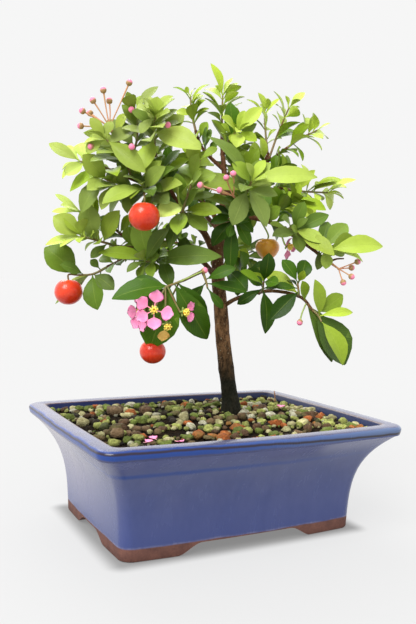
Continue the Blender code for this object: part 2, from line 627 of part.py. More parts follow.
def tube_mesh(points, radii, sides):
    """A curve's round bevel as a mesh with its caps welded on."""
    curve = bpy.data.curves.new("tube", "CURVE")
    curve.dimensions = "3D"
    curve.bevel_depth = max(radii)
    curve.bevel_resolution = sides // 2 - 2
    curve.use_fill_caps = True
    spline = curve.splines.new("POLY")
    spline.points.add(len(points) - 1)
    for spot, point, radius in zip(spline.points, points, radii):
        spot.co = (*point, 1)
        spot.radius = radius / curve.bevel_depth
    item = bpy.data.objects.new("tube", curve)
    bpy.context.scene.collection.objects.link(item)
    mesh = evaluated_mesh(item)
    bpy.data.objects.remove(item, do_unlink=True)
    bm = bmesh.new()
    bm.from_mesh(mesh)
    bmesh.ops.remove_doubles(bm, verts=bm.verts, dist=0.01 * MM)
    bm.to_mesh(mesh)
    bm.free()
    return mesh


def blade_mesh(blade):
    mesh = bpy.data.meshes.new("blade")
    mesh.from_pydata(blade_points(blade), [], template_of(blade)[1])
    return mesh


def ball_mesh(centre, radius, around, along_axis):
    bm = bmesh.new()
    bmesh.ops.create_uvsphere(bm, u_segments=around, v_segments=along_axis, radius=radius)
    bmesh.ops.translate(bm, vec=centre, verts=bm.verts)
    return mesh_from(bm, "ball")


def cone_mesh(start, end, first, last, sides):
    """A short solid cone from start to end."""
    bm = bmesh.new()
    bmesh.ops.create_cone(bm, cap_ends=True, segments=sides, radius1=first, radius2=last,
                          depth=(end - start).length)
    turn = UP.rotation_difference(end - start)
    bmesh.ops.rotate(bm, matrix=turn.to_matrix(), verts=bm.verts)
    bmesh.ops.translate(bm, vec=(start + end) / 2, verts=bm.verts)
    return mesh_from(bm, "cone")


def largest_body(mesh):
    """The mesh without the loose scraps and sealed hollows that a Boolean leaves."""
    bm = bmesh.new()
    bm.from_mesh(mesh)
    left = set(bm.verts)
    shells = []
    while left:
        shell = {left.pop()}
        front = list(shell)
        while front:
            for edge in front.pop().link_edges:
                for vert in edge.verts:
                    if vert not in shell:
                        shell.add(vert)
                        front.append(vert)
        left -= shell
        shells.append(shell)
    largest = max(shells, key=len)
    bmesh.ops.delete(bm, geom=[vert for vert in bm.verts if vert not in largest], context="VERTS")
    bmesh.ops.dissolve_limit(bm, angle_limit=FLAT_ANGLE, verts=bm.verts, edges=bm.edges)
    bm.to_mesh(mesh)
    bm.free()
    return mesh


def fuse(name, meshes, group, surface):
    """One body from overlapping solids: a Boolean union on their collection, applied."""
    base = add_object(name, meshes[0], group)
    loose = new_collection(name + "_pieces")
    for mesh in meshes[1:]:
        add_object("piece", mesh, loose)
    union = base.modifiers.new("fuse", "BOOLEAN")
    union.operation = "UNION"
    union.operand_type = "COLLECTION"
    union.collection = loose
    union.solver = "MANIFOLD"
    body = largest_body(evaluated_mesh(base))
    base.modifiers.clear()
    base.data = body
    for item in list(loose.objects):
        bpy.data.objects.remove(item, do_unlink=True)
    bpy.data.collections.remove(loose)
    body.materials.clear()
    body.materials.append(surface)
    return base


def ring(length, width, z, corner):
    """Points round a rectangle with round corners and gently bowed sides, anticlockwise from above."""
    corner_steps, side_steps = 3, 3
    half_x, half_y = length / 2 - corner, width / 2 - corner
    flat = []
    for quarter in range(4):
        sign_x = 1 if quarter in (0, 3) else -1
        sign_y = 1 if quarter in (0, 1) else -1
        for step in range(corner_steps + 1):
            angle = math.radians(90 * (quarter + step / corner_steps))
            flat.append((sign_x * half_x + corner * math.cos(angle), sign_y * half_y + corner * math.sin(angle)))
        next_x = -sign_x if quarter in (0, 2) else sign_x
        next_y = -sign_y if quarter in (1, 3) else sign_y
        turned = math.radians(90 * (quarter + 1))
        target = (next_x * half_x + corner * math.cos(turned), next_y * half_y + corner * math.sin(turned))
        start = flat[-1]
        for step in range(1, side_steps):
            share = step / side_steps
            flat.append((start[0] + (target[0] - start[0]) * share, start[1] + (target[1] - start[1]) * share))
    points = []
    for x, y in flat:
        bow_x = 1 + SHORT_BOW * (1 - (2 * y / width) ** 2)
        bow_y = 1 + LONG_BOW * (1 - (2 * x / length) ** 2)
        points.append(Vector((x * bow_x, y * bow_y, z)))
    return points


def flare(z):
    """How far the wall at height z has opened from the base outline to the rim outline, 0 to 1."""
    u = min(z / WALL_TOP, 1)
    return 0.12 * u + 0.88 * u ** 3.8


def pot_ring(z, inset=0.0):
    """The pot's outline at height z, drawn in by inset."""
    open_by = flare(z)
    length = BASE_LENGTH + (RIM_LENGTH - BASE_LENGTH) * open_by - 2 * inset
    width = BASE_WIDTH + (RIM_WIDTH - BASE_WIDTH) * open_by - 2 * inset
    corner = max(BASE_CORNER + (RIM_CORNER - BASE_CORNER) * open_by - 0.4 * inset, 2 * MM)
    return ring(length, width, z, corner)


def rim_ring(z, inset):
    corner = max(RIM_CORNER - 0.4 * inset, 2 * MM)
    return ring(RIM_LENGTH - 2 * inset, RIM_WIDTH - 2 * inset, z, corner)


def loft(name, rings):
    """A closed body through rings of equal count, capped at both ends."""
    bm = bmesh.new()
    loops = [[bm.verts.new(point) for point in points] for points in rings]
    count = len(loops[0])
    for low, high in zip(loops, loops[1:]):
        for i in range(count):
            j = (i + 1) % count
            bm.faces.new((low[i], low[j], high[j], high[i]))
    bm.faces.new(list(reversed(loops[0])))
    bm.faces.new(loops[-1])
    return mesh_from(bm, name)


def inner_rings(gap):
    """The inside of the pot from just under the ledge down to the floor, drawn in by a gap."""
    high = [rim_ring(z * MM, LEDGE + inset * MM + gap) for z, inset in ((69.9, 0), (68.4, 0.8))]
    low = [pot_ring(z * MM, WALL + gap) for z in (60, 45)]
    return high + low + [pot_ring(FLOOR + gap, WALL + gap)]


def box_cutter(name, size, low, high, group):
    bm = bmesh.new()
    bmesh.ops.create_cube(bm, size=1)
    bmesh.ops.scale(bm, vec=(*size, high - low), verts=bm.verts)
    bmesh.ops.translate(bm, vec=(0, 0, (low + high) / 2), verts=bm.verts)
    return as_cutter(add_object(name, mesh_from(bm, name), group))


def pole_cutter(name, radius, x, y, low, high, sides, group):
    mesh = cone_mesh(Vector((x, y, low)), Vector((x, y, high)), radius, radius, sides)
    return as_cutter(add_object(name, mesh, group))


def arch_cutter(name, bottom_half, top_half, rise, reach, turned, group):
    """The gap between two feet: an outline with an S-shaped rise at each end, drawn through the pot."""
    steps = 5
    below = -2 * MM
    right = []
    for i in range(steps + 1):
        t = i / steps
        right.append((bottom_half + (top_half - bottom_half) * t, rise * t * t * (3 - 2 * t)))
    outline = [(-bottom_half, below), (bottom_half, below)] + right + [(-x, z) for x, z in reversed(right)]
    bm = bmesh.new()
    front = [bm.verts.new((x, -reach, z)) for x, z in outline]
    face = bm.faces.new(front)
    drawn = bmesh.ops.extrude_face_region(bm, geom=[face])
    moved = [v for v in drawn["geom"] if isinstance(v, bmesh.types.BMVert)]
    bmesh.ops.translate(bm, vec=(0, 2 * reach, 0), verts=moved)
    if turned:
        bmesh.ops.rotate(bm, matrix=Vector((1, 0, 0)).rotation_difference(Vector((0, 1, 0))).to_matrix(),
                         verts=bm.verts)
    bmesh.ops.recalc_face_normals(bm, faces=bm.faces)
    return as_cutter(add_object(name, mesh_from(bm, name), group))


def as_cutter(item):
    item.hide_render = True
    item.display_type = "WIRE"
    return item


def boolean(item, cutter, operation="DIFFERENCE", solver="EXACT"):
    step = item.modifiers.new(cutter.name, "BOOLEAN")
    step.operation = operation
    step.object = cutter
    step.solver = solver


def smooth(item, degrees):
    item.data.shade_smooth()
    item.data.set_sharp_from_angle(angle=math.radians(degrees))


def build_pot(parts, cutters, surface):
    wall = [pot_ring(z * MM) for z in (0, 22, 38, 48, 56, 62)]
    lip = [rim_ring(z * MM, inset * MM) for z, inset in
           ((65, 0.7), (66.2, 0), (69.4, 0), (70.6, 0.7), (71.1, 2.2), (70.9, 9.6))]
    pot = add_object("pot", loft("pot", wall + lip + inner_rings(0)), parts, surface)
    smooth(pot, 40)
    long_half, short_half = BASE_LENGTH / 2 - LONG_FOOT, BASE_WIDTH / 2 - SHORT_FOOT
    boolean(pot, arch_cutter("arch_long", long_half, long_half - FOOT_RUN, FOOT_HEIGHT,
                             BASE_WIDTH, False, cutters))
    boolean(pot, arch_cutter("arch_short", short_half, short_half - FOOT_RUN, FOOT_HEIGHT - 0.4 * MM,
                             BASE_LENGTH, True, cutters))
    boolean(pot, box_cutter("underside", (BASE_LENGTH - 2 * FOOT_BRACKET, BASE_WIDTH - 2 * FOOT_BRACKET),
                            -2 * MM, FOOT_HEIGHT + 0.6 * MM, cutters))
    for side in (-1, 1):
        boolean(pot, pole_cutter(f"drain_{side}", DRAIN_RADIUS, side * DRAIN_PLACE, 0, 2 * MM, 18 * MM, 16, cutters))
    return pot


def build_screens(parts, surface):
    """A plastic mesh over each drainage hole: a grid with every second cell open, given a thickness."""
    for name, side in (("screen_left", -1), ("screen_right", 1)):
        bm = bmesh.new()
        cells = 5
        bmesh.ops.create_grid(bm, x_segments=cells, y_segments=cells, size=SCREEN_SIZE / 2)
        pitch = SCREEN_SIZE / cells
        open_cells = []
        for face in bm.faces:
            middle = face.calc_center_median()
            column = int((middle.x + SCREEN_SIZE / 2) / pitch)
            row = int((middle.y + SCREEN_SIZE / 2) / pitch)
            if column % 2 and row % 2:
                open_cells.append(face)
        bmesh.ops.delete(bm, geom=open_cells, context="FACES")
        screen = add_object(name, mesh_from(bm, name), parts, surface)
        screen.location = (side * DRAIN_PLACE, 0, FLOOR + GAP)
        shell = screen.modifiers.new("thickness", "SOLIDIFY")
        shell.thickness = SCREEN_THICKNESS
        shell.offset = 1


def build_soil(parts, cutters, surface):
    """A block whose top is grained by the rule of its grid, kept to the inside of the pot."""
    rng = random.Random(SEED)
    bm = bmesh.new()
    columns, rows = 19, 15
    bmesh.ops.create_grid(bm, x_segments=columns, y_segments=rows, size=0.5)
    rim = [edge for edge in bm.edges if edge.is_boundary]
    for vert in bm.verts:
        far = (2 * vert.co.x) ** 2 + (2 * vert.co.y) ** 2
        vert.co.x = vert.co.x * RIM_LENGTH + rng.uniform(-GRAIN, GRAIN)
        vert.co.y = vert.co.y * (RIM_WIDTH + 6 * MM) + rng.uniform(-GRAIN, GRAIN)
        vert.co.z = SOIL_LEVEL - SOIL_CROWN * min(far, 1) + rng.uniform(-0.93, 0.93) * GRAIN
    drawn = bmesh.ops.extrude_edge_only(bm, edges=rim)["geom"]
    for vert in [v for v in drawn if isinstance(v, bmesh.types.BMVert)]:
        vert.co.z = 0
    bmesh.ops.edgeloop_fill(bm, edges=[e for e in drawn if isinstance(e, bmesh.types.BMEdge)])
    bmesh.ops.recalc_face_normals(bm, faces=bm.faces)
    soil = add_object("soil", mesh_from(bm, "soil"), parts, surface)
    rings = list(reversed(inner_rings(GAP)))
    top = [Vector((p.x, p.y, POT_HEIGHT + 9 * MM)) for p in rings[-2]]
    inside = add_object("inside_of_pot", loft("inside_of_pot", rings[:-1] + [top]), cutters)
    boolean(soil, as_cutter(inside), "INTERSECT", "MANIFOLD")
    hole = pole_cutter("planting_hole", TRUNK_RADIUS + 0.5 * MM, FOOT.x, FOOT.y,
                       SOIL_LEVEL - ROOT_DEPTH - GAP, SOIL_LEVEL + 20 * MM, 12, cutters)
    boolean(soil, hole, solver="MANIFOLD")
    for side in (-1, 1):
        cutter = box_cutter(f"screen_room_{side}", (SCREEN_SIZE + 2 * GAP, SCREEN_SIZE + 2 * GAP), 5 * MM,
                            FLOOR + 2 * GAP + SCREEN_THICKNESS, cutters)
        cutter.location.x = side * DRAIN_PLACE
        boolean(soil, cutter, solver="MANIFOLD")
    body = largest_body(evaluated_mesh(soil))
    soil.modifiers.clear()
    soil.data = body
    return soil


def build_wood_and_leaves(parts, surfaces):
    """The trunk with its limbs, the sprays, the petals and the bunches of buds, a body each."""
    paths, blades = grow()
    bodies = {}
    for points, radii, node, sides in paths.values():
        bodies.setdefault(node, []).append(tube_mesh(points, radii, sides))
    for node, items in blades.items():
        bodies.setdefault(node, []).extend(blade_mesh(blade) for blade in items)
    for name, _, _, centre, direction, _, _ in FLOWERS:
        face = heading(direction)
        back = place(centre) - face * HUB_DEPTH / 2
        bodies.setdefault(name, []).insert(0, cone_mesh(back, back + face * HUB_DEPTH, HUB_RADIUS, HUB_RADIUS, 6))
    for name, _, _, parting, buds in UMBELS:
        for bud in buds:
            bodies[name].append(tube_mesh([place(parting), place(bud)], [PEDICEL_RADIUS] * 2, 4))
            bodies[name].append(ball_mesh(place(bud), BUD_RADIUS, 4, 3))
    for node, meshes in bodies.items():
        kind = node.split("_")[0]
        fuse(node, meshes, parts, surfaces[kind])


def build_stamens(parts, surface):
    """The yellow centre of each flower: a crown whose every second tip stands high and wide, as a stamen."""
    for name, _, _, centre, direction, _, _ in FLOWERS:
        face = heading(direction)
        bm = bmesh.new()
        bmesh.ops.create_cone(bm, cap_ends=True, cap_tris=True, segments=2 * STAMENS, radius1=STAMEN_CROWN,
                              radius2=STAMEN_CROWN, depth=STAMEN_HEIGHT)
        for vert in bm.verts:
            tall = math.cos(STAMENS * math.atan2(vert.co.y, vert.co.x)) > 0
            if vert.co.z > 0 and math.hypot(vert.co.x, vert.co.y) > STAMEN_CROWN / 2:
                vert.co.x *= STAMEN_SPREAD if tall else 0.8
                vert.co.y *= STAMEN_SPREAD if tall else 0.8
                vert.co.z += 0 if tall else -0.9 * MM
            elif vert.co.z > 0:
                vert.co.z -= 0.6 * MM
        bmesh.ops.rotate(bm, matrix=UP.rotation_difference(face).to_matrix(), verts=bm.verts)
        middle = place(centre) + face * (HUB_DEPTH / 2 + GAP + STAMEN_HEIGHT / 2)
        bmesh.ops.translate(bm, vec=middle, verts=bm.verts)
        add_object(name + "_stamens", mesh_from(bm, name), parts, surface)


def build_fruits(parts, ripe, unripe):
    """A sphere with three low lobes, a hollow for the stalk, and on the ochre one a tapered lower half."""
    for name, _, _, centre, radius, narrowing in FRUITS:
        bm = bmesh.new()
        bmesh.ops.create_uvsphere(bm, u_segments=10, v_segments=8, radius=1)
        for vert in bm.verts:
            x, y, z = vert.co
            flat = math.hypot(x, y)
            lobes = 1 + 0.03 * math.cos(3 * math.atan2(y, x)) * flat
            wide = lobes * (1 + narrowing * z)
            hollow = DIMPLE * max(z, 0) * math.exp(-(flat / 0.3) ** 2)
            vert.co = (x * wide, y * wide, FRUIT_HEIGHT * z - hollow)
        bmesh.ops.scale(bm, vec=(radius * MM,) * 3, verts=bm.verts)
        bmesh.ops.translate(bm, vec=place(centre), verts=bm.verts)
        item = add_object(name, mesh_from(bm, name), parts, unripe if narrowing else ripe)
        smooth(item, 60)


def set_origin(parts):
    """Moves the whole part so that the middle of its base is the origin."""
    graph = bpy.context.evaluated_depsgraph_get()
    corners = []
    for item in parts.objects:
        solid = item.evaluated_get(graph)
        corners += [solid.matrix_world @ vert.co for vert in solid.data.vertices]
    low = Vector([min(c[i] for c in corners) for i in range(3)])
    high = Vector([max(c[i] for c in corners) for i in range(3)])
    shift = Vector(((low.x + high.x) / 2, (low.y + high.y) / 2, low.z))
    for item in bpy.data.objects:
        item.location -= shift


def main():
    clear_scene()
    parts = new_collection("barbados_cherry_bonsai")
    cutters = new_collection("cutters")
    glaze = material("blue_glaze", (0.08, 0.10, 0.27), 0.2, 0.6)
    grit = material("pumice_soil", (0.30, 0.29, 0.20), 0.95)
    bark = material("bark", (0.12, 0.07, 0.04), 0.85)
    leaf = material("leaf", (0.10, 0.28, 0.03), 0.45)
    petal = material("petal", (0.95, 0.35, 0.60), 0.6)
    stamen = material("stamen", (0.95, 0.62, 0.06), 0.6)
    bud = material("bud", (0.75, 0.30, 0.25), 0.6)
    ripe = material("ripe_fruit", (0.80, 0.06, 0.03), 0.25, 0.4)
    unripe = material("unripe_fruit", (0.62, 0.30, 0.04), 0.3, 0.4)
    plastic = material("screen_plastic", (0.02, 0.02, 0.02), 0.6)
    build_pot(parts, cutters, glaze)
    build_screens(parts, plastic)
    build_soil(parts, cutters, grit)
    build_wood_and_leaves(parts, {"trunk": bark, "spray": leaf, "flower": petal, "buds": bud})
    build_stamens(parts, stamen)
    build_fruits(parts, ripe, unripe)
    set_origin(parts)


main()
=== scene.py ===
# Barbados cherry bonsai in a blue glazed pot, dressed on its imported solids
import bmesh
import bpy
import math
import random
import numpy as np
from mathutils import Matrix, Vector
from mathutils.bvhtree import BVHTree


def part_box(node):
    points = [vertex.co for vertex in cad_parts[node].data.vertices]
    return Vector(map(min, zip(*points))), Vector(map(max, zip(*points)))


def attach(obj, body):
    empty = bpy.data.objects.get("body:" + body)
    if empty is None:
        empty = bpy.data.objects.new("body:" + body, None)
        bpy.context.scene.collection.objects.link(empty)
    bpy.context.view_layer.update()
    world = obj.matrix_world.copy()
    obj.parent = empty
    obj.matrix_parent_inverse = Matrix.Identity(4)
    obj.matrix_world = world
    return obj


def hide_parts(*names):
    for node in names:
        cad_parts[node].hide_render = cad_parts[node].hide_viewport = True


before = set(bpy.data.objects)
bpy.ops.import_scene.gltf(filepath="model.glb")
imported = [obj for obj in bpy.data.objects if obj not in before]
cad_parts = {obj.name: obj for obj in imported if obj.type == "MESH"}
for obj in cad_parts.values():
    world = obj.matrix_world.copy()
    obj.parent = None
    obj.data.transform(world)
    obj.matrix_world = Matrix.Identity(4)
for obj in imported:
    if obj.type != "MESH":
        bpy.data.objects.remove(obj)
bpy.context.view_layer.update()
mm = 0.001
gap = 0.3 * mm
up = Vector((0, 0, 1))
potLow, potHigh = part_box("pot")
# the tree and the pot are worked out round the pot's middle, and every mesh is moved by this at the end
middle = np.array([(potLow.x + potHigh.x) / 2, (potLow.y + potHigh.y) / 2, 0.0])
print("frame loaded, nodes:", len(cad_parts))

camera = {"place": (-223.346, -427.668, 159.861), "yaw": 0.478562, "pitch": 0.0418576, "roll": 0.0277159,
          "focalPixels": 717.892, "imageHeight": 624}
# seen: the paper as the camera sees it; skyFront, skyBack: how strongly it lights from in front and from
# behind the tree; floorTone: how dark shadows fall on the floor; the two after it: the painted shadow under
# the pot, the least share of the floor's glow there and how far it fades out
light = {"seen": 0.922, "skyFront": 0.70, "skyBack": 1.6, "spread": 40, "floorTone": 0.10, "paintedShadowGlow": 0.35,
         "paintedShadowRun": 13 * mm, "suns": (("key", 3.8, (-0.75, -0.5, 0.95)), ("rim", 1.6, (0.1, 0.8, 0.9)))}

# the tree's plan; lengths in metres, but viewRadius, stalkRise, flowerBend and fruitRoom in mm
tree = {"foot": (0.0254, 0.0123, 0.069), "frontTurn": 27.4, "stubReach": 0.0025, "stubRadius": 0.0010,
        "stemRadius": 0.00095, "tipRadius": 0.0006, "stalkRadius": 0.0006, "pedicelRadius": 0.00045,
        "bladeThickness": 0.0008, "rootSink": 0.00025, "shortLeaf": 0.021, "frontDepth": 0.060,
        "sleeve": 1.35, "seed": 11, "hubDepth": 1.2 * mm, "petalLength": 12.5 * mm, "petalWidth": 7.6 * mm,
        "viewStart": 0.014, "viewReach": 0.070, "viewRadius": 6, "budRadius": 2.1 * mm, "knownToFront": 0.9,
        "stalkSeat": 0.74, "stalkRise": 4, "stalkSwell": 1.4, "flowerBend": 2.5, "fruitRoom": 0.4,
        "hubRoom": 2.6 * mm, "leafRoom": 0.6 * mm, "smallRoom": 0.3 * mm, "petalRoom": 0.2 * mm,
        "leafBend": (0.05, 0.1), "petalBend": (-0.06, 0.25), "petalLift": 0.22, "rootTone": 0.45,
        "toneRise": 0.75}
foot = Vector(tree["foot"])
frontTurn = math.radians(tree["frontTurn"])
across = Vector((math.cos(frontTurn), -math.sin(frontTurn), 0))
toward = Vector((-math.sin(frontTurn), -math.cos(frontTurn), 0))

# radius and place of each trunk point, mm: (across, up, toward the viewer)
trunkPoints = (
    (6.0, (0, -28, 0)), (6.0, (0, 1.5, 0)), (5.5, (-1.5, 12, 0)), (5.3, (-4, 29, 0)),
    (5.1, (-7.5, 55, 0)), (4.8, (-10, 78, 0)), (4.5, (-12, 98, 0)), (3.9, (-12, 113, 0)),
    (2.8, (-10, 140, -4)), (2.1, (-9, 163, -8)), (1.5, (-11, 184, -12)), (1.1, (-12, 202, -14)),
)

# limbs: name, radius at each end in mm, tries of small leaves, their freshness with painted light, points
limbPlan = (
    ("left_limb", 2.6, 1.3, 3, 0.3,
     ((-12, 104, 0), (-22, 124, 8), (-32, 132, 16), (-44, 143, 26), (-55, 147, 36))),
    ("back_left_limb", 2.2, 1.1, 14, 0.3,
     ((-11, 118, 0), (-15, 137, -8), (-26, 150, -14), (-40, 164, -20))),
    ("right_arm", 2.1, 0.9, 8, 0.45,
     ((-10, 132, -3), (4, 137, 0), (17, 135, 4), (28, 131, 8), (47, 118, 16), (60, 108, 22))),
    ("low_right_arm", 1.7, 0.9, 0, 0.3,
     ((-10, 72, 0), (-5, 76, 4), (4, 81, 10), (23, 86, 20), (42, 83, 28), (50, 75, 32))),
    ("left_arm", 2.0, 1.0, 5, 0.3, ((-12, 92, 0), (-27, 107, 10), (-58, 111, 20), (-80, 113, 26))),
    ("left_arm_fork", 1.2, 0.9, 2, 0.3, ((-58, 111, 20), (-74, 105, 24), (-84, 100, 27))),
    ("front_arm", 1.7, 0.9, 0, 0.3, ((-12, 95, 0), (-16, 99, 14), (-22, 98, 32), (-33, 92, 50))),
    ("upper_right_limb", 1.9, 1.1, 8, 0.55,
     ((-9, 152, -6), (4, 168, -20), (18, 178, -30), (23, 186, -33))),
    ("right_fork", 1.2, 0.9, 3, 0.6, ((18, 178, -30), (27, 184, -31), (35, 190, -30))),
    ("right_bough", 1.7, 1.0, 14, 0.45, ((-9, 143, -5), (15, 155, -9), (32, 159, -10))),
    ("upper_left_twig", 1.4, 0.9, 8, 0.3, ((-9, 170, -9), (-24, 184, -10), (-30, 196, -11))),
    ("front_left_riser", 1.4, 1.0, 14, 0.3, ((-38, 138, 21), (-47, 155, 34), (-55, 172, 44))),
    ("left_bough", 1.4, 1.0, 14, 0.3, ((-44, 143, 26), (-60, 152, 36), (-74, 157, 43))),
    ("umbel_twig", 1.1, 0.9, 14, 0.3, ((-60, 152, 36), (-74, 172, 46), (-80, 181, 50))),
    ("left_riser", 1.1, 0.9, 6, 0.3, ((-66, 112, 22), (-76, 120, 27), (-84, 126, 31))),
    ("front_riser", 1.5, 1.0, 14, 0.3, ((-10, 126, -2), (-3, 136, 18), (3, 146, 36))),
    ("back_bough_left", 1.8, 1.0, 14, 0.3, ((-11, 126, -2), (-24, 142, -30), (-38, 152, -54))),
    ("back_bough_right", 1.8, 1.0, 14, 0.3, ((-10, 136, -4), (6, 148, -32), (22, 152, -58))),
    ("back_low_arm", 1.6, 0.9, 14, 0.3, ((-12, 100, 0), (-8, 110, -26), (2, 114, -52))),
    ("back_low_left", 1.5, 0.9, 14, 0.3, ((-12, 110, 0), (-32, 117, -24), (-54, 121, -44))),
    ("top_back_shoot", 1.3, 0.9, 14, 0.3, ((-9, 160, -8), (-3, 180, -32), (0, 192, -46))),
)
